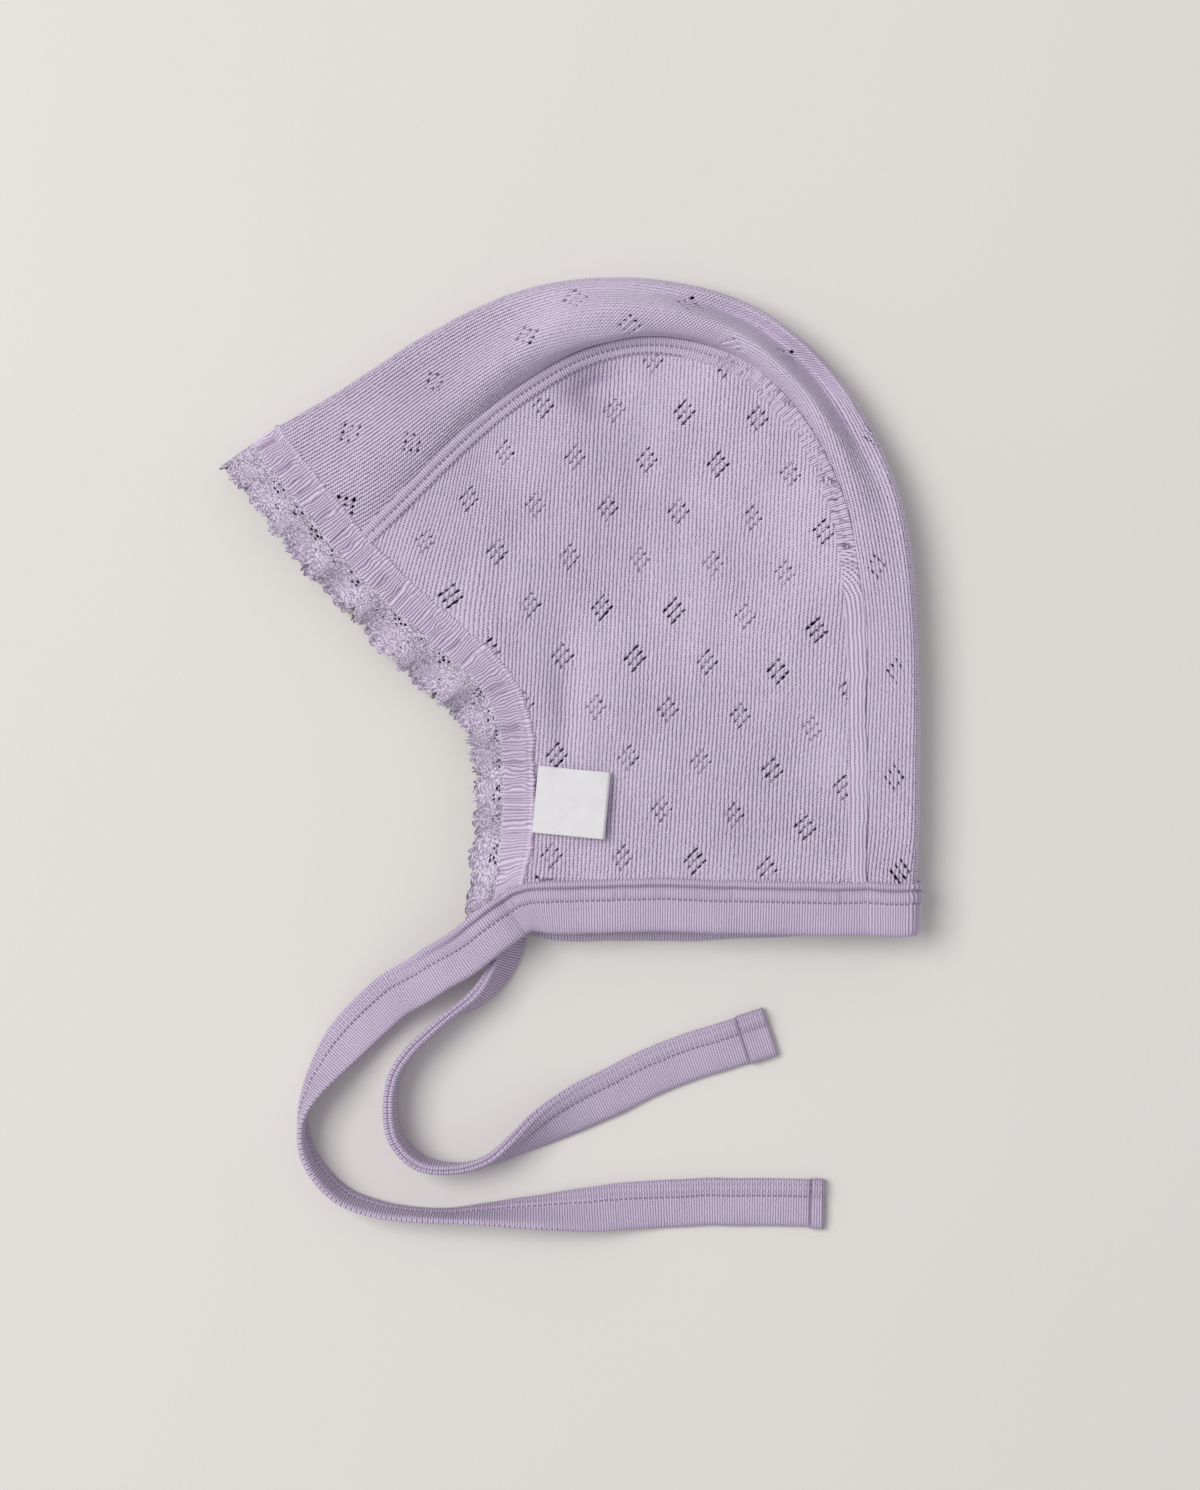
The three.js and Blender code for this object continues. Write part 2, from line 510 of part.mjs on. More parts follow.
function neckBinding() {
  const stations = NECK_LINE.map(
    ({ at, down, normal }) =>
      (p) =>
        at.clone().addScaledVector(down, p.x).addScaledVector(normal, p.y),
  );
  return loft("neck_binding", BINDING_SECTION, stations, TAPE);
}

// Ties: the tape folded shut, with its hemmed end a little thicker.
const half = TAPE_WIDTH / 2;
const TIE_SECTION = [
  [-half, -0.2],
  [-half * 0.85, -0.5],
  [half * 0.85, -0.5],
  [half, -0.2],
  [half, 0.2],
  [half * 0.85, 0.5],
  [-half * 0.85, 0.5],
  [-half, 0.2],
].map(([x, y]) => new THREE.Vector2(x, y)); // y as a share of the thickness
const HEM = 5.6; // length of the turned end
const HEM_THICKER = 1.35;

function tie(name, corner, forward, rows) {
  const start = corner.at.clone().addScaledVector(corner.down, half);
  const begin = start.clone().addScaledVector(forward, SEWN_GAP);
  const line = [];
  for (let i = 0; i <= TIE_STEPS; i++) {
    const value = (column) => between(rows, column, i / TIE_STEPS);
    const x = begin.x - value("ahead") * TIE_REACH;
    const y = begin.y - value("down") * TIE_REACH;
    line.push({ at: point(x, y, 0), lean: radians(value("lean")), lifted: Math.max(0, value("lifted")) });
  }
  const stations = line.map(({ at, lean, lifted }, i) => {
    const after = line[Math.min(i + 1, TIE_STEPS)].at;
    const run = i ? after.clone().sub(line[i - 1].at).normalize() : forward;
    const right = point(run.y, -run.x, 0);
    const thick = TAPE_THICK * (line[TIE_STEPS].at.distanceTo(at) < HEM ? HEM_THICKER : 1);
    const lying = half * Math.abs(Math.sin(lean)) + (thick / 2) * Math.abs(Math.cos(lean));
    const middle = at.clone().setZ(THREE.MathUtils.lerp(lying, Math.max(lying, start.z), lifted));
    const seamSide = right.clone().multiplyScalar(Math.cos(lean)).setZ(-Math.sin(lean));
    const facing = seamSide.clone().cross(run).normalize();
    return (p) => middle.clone().addScaledVector(seamSide, p.x).addScaledVector(facing, p.y * thick);
  });
  return loft(name, TIE_SECTION, stations, TAPE);
}

// Folded woven label, sewn in beside the lace heading near the neck, its free edge lifted.
function sideLabel() {
  const steps = 6;
  const across = compass(LABEL.turn);
  const along = compass(LABEL.turn + 90);
  const sewn = facePoint(wayTo(FACE_ROWS, "up", LABEL.up), true).addScaledVector(across, LABEL.clear);
  const face = (depth) => (i, j) => {
    const share = i / steps;
    const p = sewn
      .clone()
      .addScaledVector(across, share * LABEL.wide)
      .addScaledVector(along, (j - 0.5) * LABEL.high);
    return p.setZ(panelHeight(p.x, p.y) + 1.3 * SEWN_GAP + LABEL.lift * share * share + depth);
  };
  return sheet("side_label", steps, 1, face(LABEL.thick), face(0), SATIN);
}

// Height of the upper side panel over a place on the table, found by Newton's steps over its patch.
function panelHeight(x, y) {
  const step = 0.001;
  let u = 0.3;
  let v = 0.3;
  for (let i = 0; i < 12; i++) {
    const p = panelPoint(u, v, true);
    const du = panelPoint(u + step, v, true).sub(p).divideScalar(step);
    const dv = panelPoint(u, v + step, true).sub(p).divideScalar(step);
    const area = du.x * dv.y - du.y * dv.x;
    u += ((x - p.x) * dv.y - (y - p.y) * dv.x) / area;
    v += (du.x * (y - p.y) - du.y * (x - p.x)) / area;
  }
  return panelPoint(u, v, true).z;
}

const bonnet = new THREE.Group();
bonnet.name = "baby_bonnet";
bonnet.add(
  crownStrip(),
  sidePanel("side_panel_left", true),
  sidePanel("side_panel_right", false),
  laceHeading(),
  laceRuffle(),
  neckBinding(),
  tie("tie_left", upperCorner, upperCorner.run.clone().negate(), LEFT_TIE_ROWS),
  tie("tie_right", lowerCorner, lowerCorner.run, RIGHT_TIE_ROWS),
  sideLabel(),
);

export default bonnet;
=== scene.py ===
import math

import bpy
import numpy as np
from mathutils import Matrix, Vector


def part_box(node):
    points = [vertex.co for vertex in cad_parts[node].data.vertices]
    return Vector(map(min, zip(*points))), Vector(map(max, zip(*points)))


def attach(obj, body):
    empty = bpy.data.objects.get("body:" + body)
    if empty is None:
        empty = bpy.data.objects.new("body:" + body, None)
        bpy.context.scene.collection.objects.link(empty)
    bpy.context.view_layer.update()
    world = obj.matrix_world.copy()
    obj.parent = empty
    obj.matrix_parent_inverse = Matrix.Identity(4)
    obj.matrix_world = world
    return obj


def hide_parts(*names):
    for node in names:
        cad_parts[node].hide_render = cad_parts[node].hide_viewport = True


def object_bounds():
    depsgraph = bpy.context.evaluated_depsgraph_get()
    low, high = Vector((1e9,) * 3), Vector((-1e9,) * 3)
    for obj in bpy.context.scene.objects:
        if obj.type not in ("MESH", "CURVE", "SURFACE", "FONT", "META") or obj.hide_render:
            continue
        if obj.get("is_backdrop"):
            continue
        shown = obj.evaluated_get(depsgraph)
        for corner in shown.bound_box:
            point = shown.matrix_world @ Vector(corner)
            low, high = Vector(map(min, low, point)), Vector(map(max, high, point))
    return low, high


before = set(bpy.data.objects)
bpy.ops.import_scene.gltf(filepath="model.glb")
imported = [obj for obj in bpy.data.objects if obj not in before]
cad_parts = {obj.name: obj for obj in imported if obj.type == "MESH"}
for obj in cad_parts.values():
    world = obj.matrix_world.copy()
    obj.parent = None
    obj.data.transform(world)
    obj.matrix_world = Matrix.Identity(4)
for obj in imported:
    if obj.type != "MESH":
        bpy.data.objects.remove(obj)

cad_box = [list(corner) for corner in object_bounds()]

# Camera
# Looks straight down on the bonnet with an 85 mm lens, from over a place a little in front of the
# middle of the side panels and below it. Its field on the table is 358 mm high.
FIELD = 0.3576
LENS = 85
camera = bpy.data.objects.new("camera", bpy.data.cameras.new("camera"))
bpy.context.collection.objects.link(camera)
bpy.context.scene.camera = camera
camera.data.lens = LENS
camera.data.sensor_width = 36
camera.location = (-0.0216, -0.0252, FIELD * LENS / 36)

# Table and light
# A sheet of off-white paper, lit softly by one wide lamp from the upper left and by pale walls all
# round, so that the shadows are short and fall to the lower right.
LAMP_POWER = 25.5
LAMP_SIZE = 1.1
WALLS = 0.455
bpy.context.scene.view_settings.view_transform = "Standard"


def add_node(tree, kind, inputs=None, **settings):
    """A shader node with its settings and inputs, each input a value or another node's output."""
    node = tree.nodes.new(kind)
    for name, value in settings.items():
        setattr(node, name, value)
    for name, value in (inputs or {}).items():
        if isinstance(value, bpy.types.NodeSocket):
            tree.links.new(value, node.inputs[name])
        else:
            node.inputs[name].default_value = value
    return node


def maths(tree, operation, *values):
    """The output of a Math node."""
    return add_node(tree, "ShaderNodeMath", dict(enumerate(values)), operation=operation).outputs[0]


def blend(tree, share, low, high):
    """A colour part of the way from low to high."""
    node = add_node(tree, "ShaderNodeMix", {0: share, 6: low, 7: high}, data_type="RGBA")
    return node.outputs[2]


def noise(tree, where, scale, detail):
    """The value of a Noise texture."""
    inputs = {"Vector": where, "Scale": scale, "Detail": detail}
    return add_node(tree, "ShaderNodeTexNoise", inputs).outputs["Fac"]


def linear(red, green, blue):
    """A colour given as it looks on a screen, 0 to 255, as shaders take it."""
    share = np.array([red, green, blue]) / 255
    light = np.where(share > 0.04045, ((share + 0.055) / 1.055) ** 2.4, share / 12.92)
    return (*light.tolist(), 1.0)


def new_material(name, roughness, sheen):
    """A material's tree, its Principled shader and the output of its texture coordinates."""
    material = bpy.data.materials.new(name)
    material.use_nodes = True
    tree = material.node_tree
    shader = tree.nodes["Principled BSDF"]
    shader.inputs["Roughness"].default_value = roughness
    shader.inputs["Sheen Weight"].default_value = sheen
    shader.inputs["Sheen Roughness"].default_value = 0.45
    shader.inputs["Specular IOR Level"].default_value = 0.25
    place = tree.nodes.new("ShaderNodeTexCoord").outputs["Object"]
    return material, tree, shader, place


def add_relief(tree, shader, height, distance, strength):
    """A fine relief on a material, distance metres deep for a height of 1."""
    inputs = {"Height": height, "Distance": distance, "Strength": strength}
    tree.links.new(add_node(tree, "ShaderNodeBump", inputs).outputs[0], shader.inputs["Normal"])


paper, tree, shader, place = new_material("paper", 0.85, 0.0)
cloudy = noise(tree, place, 5.0, 2.0)
grain = noise(tree, place, 900.0, 3.0)
tone = blend(tree, cloudy, linear(229, 227, 222), linear(234, 232, 228))
tree.links.new(tone, shader.inputs["Base Color"])
add_relief(tree, shader, grain, 0.0002, 0.25)
table = bpy.data.objects.new("table", bpy.data.meshes.new("table"))
bpy.context.collection.objects.link(table)
table.data.from_pydata([(-3, -3, 0), (3, -3, 0), (3, 3, 0), (-3, 3, 0)], [], [(0, 1, 2, 3)])
table.data.materials.append(paper)
table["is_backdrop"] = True

lamp = bpy.data.objects.new("lamp", bpy.data.lights.new("lamp", "AREA"))
bpy.context.collection.objects.link(lamp)
lamp.data.energy = LAMP_POWER
lamp.data.size = LAMP_SIZE
lamp.data.color = (1.0, 0.985, 0.96)
lamp.location = (-1.05, 0.32, 1.75)
lamp.rotation_euler = (-lamp.location).to_track_quat("-Z", "Y").to_euler()
world = bpy.data.worlds.new("walls")
bpy.context.scene.world = world
world.use_nodes = True
world.node_tree.nodes["Background"].inputs["Color"].default_value = (0.97, 0.97, 1.0, 1)
world.node_tree.nodes["Background"].inputs["Strength"].default_value = WALLS

# Crown strip
# The centre strip of pointelle knit from the forehead over the crown to the nape, folded along its
# middle as the bonnet lies. It is puffed up beside the seam, and its wales crowd where it narrows.
STRIP = 33.0
PUFF = 17.0
FOLD_ROUND = 2.6
CLOTH = 1.2
SEWN_GAP = 0.3
TAPE_WIDTH = 11.4
NECK_LIFT = 1.9
UPPER_CELLS = 150
LOWER_CELLS = 62
COURSE = 0.697
RIB_HIGH = 0.11
SHOULDER = 0.72


def box_of(node):
    """The lowest and highest corners of a CAD node in millimetres."""
    low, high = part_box(node)
    return np.array(low) * 1000, np.array(high) * 1000


crown_low, crown_high = box_of("crown_strip")
_, binding_high = box_of("neck_binding")
BACK = crown_high[0] + 0.2
DEPTH = BACK - crown_low[0]
NECK = binding_high[1] - NECK_LIFT
HEIGHT = (crown_high[1] - NECK) / 0.998

# Rows of the strip from the forehead to the nape. back and up place the fold as shares of DEPTH and
# HEIGHT, wide is a share of STRIP, turn a compass bearing, and the heights are shares of PUFF. pitch
# is the width of a wale, and steep how near to the seam the puffed side falls.
CROWN_COLUMNS = ["back", "up", "wide", "turn", "seam", "ridge"]
CROWN_COLUMNS += ["ridge_at", "dip", "dip_at", "brow", "pitch", "steep"]
CROWN_ROWS = [
    (1.0, 0.751, 0.985, -51.5, 0.61, 0.64, 0.62, 0.62, 0.32, 0.5, 0.84, 0.62),
    (0.902, 0.81, 0.86, -57, 0.64, 0.74, 0.66, 0.67, 0.36, 0.56, 0.83, 0.62),
    (0.776, 0.897, 0.735, -61, 0.64, 0.88, 0.7, 0.7, 0.38, 0.62, 0.8, 0.62),
    (0.651, 0.965, 0.633, -69.5, 0.55, 0.99, 0.68, 0.77, 0.36, 0.66, 0.78, 0.66),
    (0.527, 0.997, 0.515, -83, 0.5, 1.02, 0.6, 0.84, 0.3, 0.68, 0.8, 0.84),
    (0.402, 0.995, 0.42, -97, 0.48, 1.01, 0.6, 0.78, 0.32, 0.68, 0.83, 0.92),
    (0.277, 0.962, 0.4, -113, 0.56, 0.98, 0.66, 0.62, 0.36, 0.68, 0.84, 0.82),
    (0.184, 0.899, 0.393, -130.5, 0.68, 0.95, 0.68, 0.56, 0.36, 0.7, 0.83, 0.68),
    (0.105, 0.805, 0.393, -147, 0.74, 0.93, 0.7, 0.6, 0.38, 0.72, 0.83, 0.66),
    (0.043, 0.678, 0.403, -159, 0.77, 0.9, 0.7, 0.76, 0.38, 0.76, 0.86, 0.66),
    (0.015, 0.562, 0.412, -170, 0.78, 0.86, 0.72, 0.84, 0.34, 0.79, 0.88, 0.66),
    (0.002, 0.405, 0.41, -179, 0.78, 0.83, 0.76, 0.85, 0.34, 0.8, 0.86, 0.66),
    (0.0, 0.2, 0.41, -180, 0.77, 0.81, 0.78, 0.83, 0.34, 0.79, 0.92, 0.66),
    (0.003, 0.0, 0.388, -180, 0.74, 0.77, 0.74, 0.78, 0.34, 0.74, 0.93, 0.66),
]
crown = dict(zip(CROWN_COLUMNS, np.array(CROWN_ROWS).T))


def through(values, way):
    """A column of a table at a share of the way through it, on a smooth curve."""
    last = len(values) - 1
    place = np.clip(way, 0, 1) * last
    i = np.minimum(np.floor(place).astype(int), last - 1)
    f = place - i
    long = np.concatenate([[2 * values[0] - values[1]], values, [2 * values[-1] - values[-2]]])
    a, b, c, d = long[i], long[i + 1], long[i + 2], long[i + 3]
    return b + 0.5 * f * (c - a + f * (2 * a - 5 * b + 4 * c - d + f * (3 * (b - c) + d - a)))


def smooth(value, low, high):
    """0 below low, 1 above high, and a soft step between them."""
    share = np.clip((value - low) / (high - low), 0, 1)
    return share * share * (3 - 2 * share)


def compass(degrees):
    """Unit vectors that point along compass bearings on the table."""
    turn = np.radians(np.asarray(degrees, float))
    return np.stack([np.cos(turn), np.sin(turn), 0 * turn], -1)


def unit(vectors):
    return vectors / np.maximum(np.linalg.norm(vectors, axis=-1, keepdims=True), 1e-9)


def lengths(line):
    """Distance along a line of points, from its start to each point."""
    steps = np.linalg.norm(np.diff(line, axis=0), axis=1)
    return np.concatenate([[0], np.cumsum(steps)])


def wander(place, seed):
    """A smooth random wave of height 1 that changes about once per unit of place."""
    values = np.random.default_rng(seed).uniform(-1, 1, 4096)
    i = np.floor(place).astype(int)
    f = place - i
    f = f * f * (3 - 2 * f)
    return values[i % 4096] * (1 - f) + values[(i + 1) % 4096] * f


def mottle(x, y, seed):
    """A smooth random relief of height 1 that changes about once per unit of x and of y."""
    values = np.random.default_rng(seed).uniform(-1, 1, (256, 256))
    i, j = np.floor(x).astype(int), np.floor(y).astype(int)
    f, g = x - i, y - j
    f, g = f * f * (3 - 2 * f), g * g * (3 - 2 * g)
    i, j, k, m = i % 256, j % 256, (i + 1) % 256, (j + 1) % 256
    low = values[i, j] * (1 - f) + values[k, j] * f
    return low * (1 - g) + (values[i, m] * (1 - f) + values[k, m] * f) * g


def under_lift(y):
    """How far the cloth underneath is held off the table by the binding's lower layer."""
    clear = NECK + NECK_LIFT + SEWN_GAP
    return 1.3 * (1 - smooth(y, clear, clear + TAPE_WIDTH))


def curve_through(points, steps):
    """Smooth curves through rows of points, with so many steps from each point to the next."""
    padded = np.concatenate([points[:, :1], points, points[:, -1:]], 1)
    f = (np.arange(steps) / steps)[None, None, :, None]
    a, b, c, d = (padded[:, k : k + points.shape[1] - 1, None] for k in range(4))
    line = b + 0.5 * f * (c - a + f * (2 * a - 5 * b + 4 * c - d + f * (3 * (b - c) + d - a)))
    line = line.reshape(len(points), -1, points.shape[2])
    return np.concatenate([line, points[:, -1:]], 1)


SECTION_STEPS = 40


def crown_sections(ways):
    """The strip's sections: its fold, the way in from it, its width, and the section's fine line."""
    value = {name: through(column, ways) for name, column in crown.items()}
    wide = value["wide"] * STRIP
    fold = np.stack([BACK - value["back"] * DEPTH, NECK + value["up"] * HEIGHT, 0 * ways], -1)
    lift = under_lift(fold[:, 1])
    turned = np.minimum(FOLD_ROUND, wide / 4)
    seam = value["seam"] * PUFF
    ridge = value["ridge"] * PUFF
    brow = value["brow"] * PUFF
    shoulder_at = value["ridge_at"] + value["steep"] * (1 - value["ridge_at"])
    places = [
        (wide, seam),
        (wide * shoulder_at, seam + SHOULDER * (ridge - seam)),
        (wide * value["ridge_at"], ridge),
        (wide * value["dip_at"], value["dip"] * PUFF),
        (turned * 0.6, brow),
        (turned * 0.08, (brow + lift) / 2),
        (turned * 0.65, lift + turned * 0.3),
        (wide * 0.5, lift),
        (wide, lift),
    ]
    points = np.stack([np.stack(pair, -1) for pair in places], 1)
    line = curve_through(points, SECTION_STEPS)
    line[..., 1] = np.maximum(line[..., 1], lift[:, None])
    return fold, compass(value["turn"]), wide, line


def on_sections(ways, upper_cells, lower_cells):
    """A grid of places on the strip, the normals that point out, and how far each place is from the
    fold: a row for each way, and columns from the upper seam over the fold to the lower seam."""
    fold, inward, wide, line = crown_sections(ways)
    steps = np.linalg.norm(np.diff(line, axis=1), axis=2)
    along = np.concatenate([np.zeros((len(ways), 1)), np.cumsum(steps, 1)], 1)
    turn = along[:, 5 * SECTION_STEPS]
    first = np.linspace(0, 1, upper_cells + 1)[None] * turn[:, None]
    rest = np.linspace(0, 1, lower_cells + 1)[None, 1:]
    second = turn[:, None] + rest * (along[:, -1] - turn)[:, None]
    wanted = np.concatenate([first, second], 1)
    across = np.stack([np.interp(w, a, p[:, 0]) for w, a, p in zip(wanted, along, line)])
    high = np.stack([np.interp(w, a, p[:, 1]) for w, a, p in zip(wanted, along, line)])
    run = unit(np.stack([np.gradient(across, axis=1), np.gradient(high, axis=1)], -1))
    up = np.array([0, 0, 1.0])
    places = fold[:, None] + inward[:, None] * across[..., None] + up * high[..., None]
    normals = inward[:, None] * run[..., 1:] - up * run[..., :1]
    return places, unit(normals), wanted - turn[:, None]


def pierce(places, wale, course, centres, half_wide, half_long, slant):
    """Opens an eyelet at each centre (wale, course, size) of a grid of cloth. Moves the grid's points
    round it onto its rim, and returns the cells that are kept."""
    kept = np.ones((places.shape[0] - 1, places.shape[1] - 1), bool)
    wale_down, wale_on = (g[..., None] for g in np.gradient(wale))
    course_down, course_on = (g[..., None] for g in np.gradient(course))
    place_down, place_on = np.gradient(places, axis=0), np.gradient(places, axis=1)
    turned = wale_down * course_on - wale_on * course_down
    across = (place_down * course_on - place_on * course_down) / turned
    along = (place_on * wale_down - place_down * wale_on) / turned
    for w, c, size in centres:
        wide, long = half_wide * size, half_long * size
        near = (np.abs(wale - w) < 4.5 * wide) & (np.abs(course - c) < 3.4 * long)
        rows, columns = np.flatnonzero(near.any(1)), np.flatnonzero(near.any(0))
        if len(columns) < 4 or len(rows) < 4:
            continue
        i0, i1, j0, j1 = rows[0], rows[-1] + 1, columns[0], columns[-1] + 1
        y = course[i0:i1, j0:j1] - c
        x = wale[i0:i1, j0:j1] - w - slant * y
        ring = np.hypot(x / wide, y / long)
        middle_x, middle_y = (x[:-1, :-1] + x[1:, 1:]) / 2, (y[:-1, :-1] + y[1:, 1:]) / 2
        gone = np.hypot(middle_x / wide, middle_y / long) < 1
        if gone[0].any() or gone[-1].any() or gone[:, 0].any() or gone[:, -1].any():
            continue
        kept[i0 : i1 - 1, j0 : j1 - 1] &= ~gone
        padded = np.pad(gone, 1)
        touching = np.stack([padded[:-1, :-1], padded[1:, :-1], padded[:-1, 1:], padded[1:, 1:]])
        rim = touching.any(0) & ~touching.all(0)
        move = (1 / np.maximum(ring, 0.3) - 1)[rim][:, None]
        step = (x + slant * y)[rim][:, None] * across[i0:i1, j0:j1][rim]
        step = step + y[rim][:, None] * along[i0:i1, j0:j1][rim]
        places[i0:i1, j0:j1][rim] += move * step
    return kept


def skin(name, places, yarn, material, kept=None, rim=0.0, normals=None):
    """A piece of cloth from a grid of places in millimetres. Each point keeps its place in the
    yarn pattern, and free edges and eyelets are turned in by rim, which shows the cloth's thickness."""
    rows, columns = places.shape[:2]
    index = np.arange(rows * columns).reshape(rows, columns)
    quads = np.stack([index[:-1, :-1], index[:-1, 1:], index[1:, 1:], index[1:, :-1]], -1)
    quads = quads.reshape(-1, 4) if kept is None else quads[kept]
    used, flat = np.unique(quads, return_inverse=True)
    quads = flat.reshape(-1, 4)
    points = places.reshape(-1, 3)[used]
    points[:, 2] = np.maximum(points[:, 2], 0.03)
    pattern = yarn.reshape(-1, 3)[used]
    if rim:
        edges = np.stack([quads, np.roll(quads, -1, 1)], -1).reshape(-1, 2)
        low, high = edges.min(1), edges.max(1)
        _, first, times = np.unique(low * len(points) + high, return_index=True, return_counts=True)
        free = edges[first[times == 1]]
        owners = np.unique(free)
        new = np.full(len(points), -1)
        new[owners] = len(points) + np.arange(len(owners))
        inner = points[owners] - rim * normals.reshape(-1, 3)[used][owners]
        inner[:, 2] = np.maximum(inner[:, 2], 0.03)
        points = np.concatenate([points, inner])
        pattern = np.concatenate([pattern, pattern[owners]])
        lips = np.stack([free[:, 1], free[:, 0], new[free[:, 0]], new[free[:, 1]]], -1)
        quads = np.concatenate([quads, lips])
    return build(name, points, quads, pattern, material)


def build(name, points, faces, pattern, material):
    """A smooth mesh object from points in millimetres, four-cornered faces and a yarn pattern."""
    mesh = bpy.data.meshes.new(name)
    mesh.vertices.add(len(points))
    mesh.vertices.foreach_set("co", (points * 0.001).astype(np.float32).ravel())
    mesh.loops.add(faces.size)
    mesh.loops.foreach_set("vertex_index", faces.astype(np.int32).ravel())
    mesh.polygons.add(len(faces))
    mesh.polygons.foreach_set("loop_start", np.arange(0, faces.size, 4, dtype=np.int32))
    mesh.update(calc_edges=True)
    mesh.validate()
    mesh.shade_smooth()
    yarn = mesh.attributes.new("yarn", "FLOAT_VECTOR", "POINT")
    yarn.data.foreach_set("vector", pattern.astype(np.float32).ravel())
    mesh.materials.append(material)
    piece = bpy.data.objects.new(name, mesh)
    bpy.context.collection.objects.link(piece)
    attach(piece, "root")
    return piece


def ramp(tree, value, low, high, form="LINEAR"):
    """0 where a value is low, 1 where it is high, and in between over the way from one to the other."""
    inputs = {"Value": value, "From Min": low, "From Max": high}
    return add_node(tree, "ShaderNodeMapRange", inputs, interpolation_type=form).outputs[0]


def mixed(tree, share, low, high):
    """A value part of the way from low to high."""
    return add_node(tree, "ShaderNodeMix", {0: share, 2: low, 3: high}).outputs[0]


def parts_of(tree, vector):
    """The X, Y and Z of a vector."""
    return add_node(tree, "ShaderNodeSeparateXYZ", {0: vector}).outputs


def yarn_pattern(tree):
    """The place in the yarn pattern that each piece of cloth carries."""
    return add_node(tree, "ShaderNodeAttribute", attribute_name="yarn").outputs["Vector"]


def effect_group(name, inputs, outputs):
    """A group of shader nodes, what comes into it and what it puts out."""
    group = bpy.data.node_groups.new(name, "ShaderNodeTree")
    for socket, kind in inputs.items():
        group.interface.new_socket(socket, in_out="INPUT", socket_type="NodeSocket" + kind)
    for socket in outputs:
        group.interface.new_socket(socket, in_out="OUTPUT", socket_type="NodeSocketFloat")
    return group, group.nodes.new("NodeGroupInput").outputs, group.nodes.new("NodeGroupOutput").inputs


# Knit stitches: the yarn pattern's x counts wales and its y courses. Height is the shape of the
# stitches, and the second output paints shade into the gaps between the wales and their needle
# holes. Where its z is below 0 the knit is pulled askew, and the stitches and their painted shade
# stand in slanting rows.
group, given, sink = effect_group("Knit stitches", {"Yarn": "Vector"}, ["Height", "Gap shade"])
source = given["Yarn"]
parts = parts_of(group, source)
wobble = noise(group, source, 0.9, 1.0)
chance = noise(group, source, 1.5, 2.0)
chance = maths(group, "SUBTRACT", chance, 0.5)
shifted = maths(group, "MULTIPLY_ADD", maths(group, "SUBTRACT", wobble, 0.5), 0.5, parts["X"])
course = maths(group, "MULTIPLY_ADD", wobble, 0.6, parts["Y"])
centred = maths(group, "SUBTRACT", maths(group, "FRACT", maths(group, "ADD", shifted, 0.5)), 0.5)
off = maths(group, "MULTIPLY", maths(group, "ABSOLUTE", centred), 2.0)
turn = maths(group, "MULTIPLY", maths(group, "MULTIPLY_ADD", centred, -0.8, course), 2 * math.pi)
leg = maths(group, "COSINE", turn)
hump = maths(group, "SUBTRACT", 1.0, maths(group, "POWER", off, 2.0))
gap = ramp(group, off, 0.42, 1.0, "SMOOTHSTEP")
dots = maths(group, "MULTIPLY_ADD", leg, -0.36, 0.74)
dots = maths(group, "MULTIPLY_ADD", chance, -1.4, dots)
crest = maths(group, "MULTIPLY", maths(group, "SUBTRACT", hump, leg), 0.1)
plain = maths(group, "ADD", maths(group, "MULTIPLY", gap, dots), crest)
skew = maths(group, "MULTIPLY", parts["Y"], 0.73 * 2 * math.pi)
lean = maths(group, "MULTIPLY", parts["X"], 0.88 * 2 * math.pi)
weave = maths(group, "MULTIPLY", maths(group, "COSINE", maths(group, "SUBTRACT", skew, lean)), 0.62)
crossing = maths(group, "COSINE", maths(group, "ADD", skew, lean))
weave = maths(group, "MULTIPLY_ADD", crossing, 0.38, weave)
pulled = ramp(group, weave, -0.15, 0.9)
even = ramp(group, parts["Z"], -1.0, 0.0)
# Painted shade in the gaps, in straight wales or in slanting rows.
gap_shade = mixed(group, even, pulled, plain)
height = maths(group, "ADD", maths(group, "MULTIPLY", hump, 0.7), maths(group, "MULTIPLY", leg, 0.38))
height = maths(group, "MULTIPLY_ADD", chance, 0.9, height)
height = mixed(group, even, maths(group, "MULTIPLY", weave, -0.6), height)
group.links.new(height, sink["Height"])
group.links.new(gap_shade, sink["Gap shade"])


def knit_material(name, light, dark, depth):
    """Soft cotton yarn in knit stitches, with painted shade in the gaps between the wales, deeper where
    the pattern's z is further from 0.
    """
    material, tree, shader, place = new_material(name, 0.92, 0.12)
    yarn = yarn_pattern(tree)
    stitches = add_node(tree, "ShaderNodeGroup", node_tree=bpy.data.node_groups["Knit stitches"])
    tree.links.new(yarn, stitches.inputs["Yarn"])
    firm = parts_of(tree, yarn)["Z"]
    fuzz = noise(tree, place, 2600.0, 2.0)
    patches = noise(tree, place, 60.0, 2.0)
    speckle = maths(tree, "MULTIPLY_ADD", fuzz, 0.6, -0.3)
    # How deep the painted shade in the gaps is, from the pattern's z.
    deep = maths(tree, "MULTIPLY_ADD", maths(tree, "ABSOLUTE", firm), 0.45 * depth, 0.75 * depth)
    share = maths(tree, "ADD", maths(tree, "MULTIPLY", stitches.outputs["Gap shade"], deep), speckle)
    share = maths(tree, "ADD", share, maths(tree, "MULTIPLY_ADD", patches, 0.24, -0.12))
    colour = blend(tree, share, linear(*light), linear(*dark))
    tree.links.new(colour, shader.inputs["Base Color"])
    height = maths(tree, "MULTIPLY_ADD", fuzz, 0.35, stitches.outputs["Height"])
    add_relief(tree, shader, height, 0.00016, 0.8)
    return material


# The yarn's colour, and the dark that the painted gap shade and the random tone run towards.
KNIT_LIGHT = (228, 214, 238)
KNIT_DARK = (98, 78, 110)
knit = knit_material("lilac_knit", KNIT_LIGHT, KNIT_DARK, 1.0)

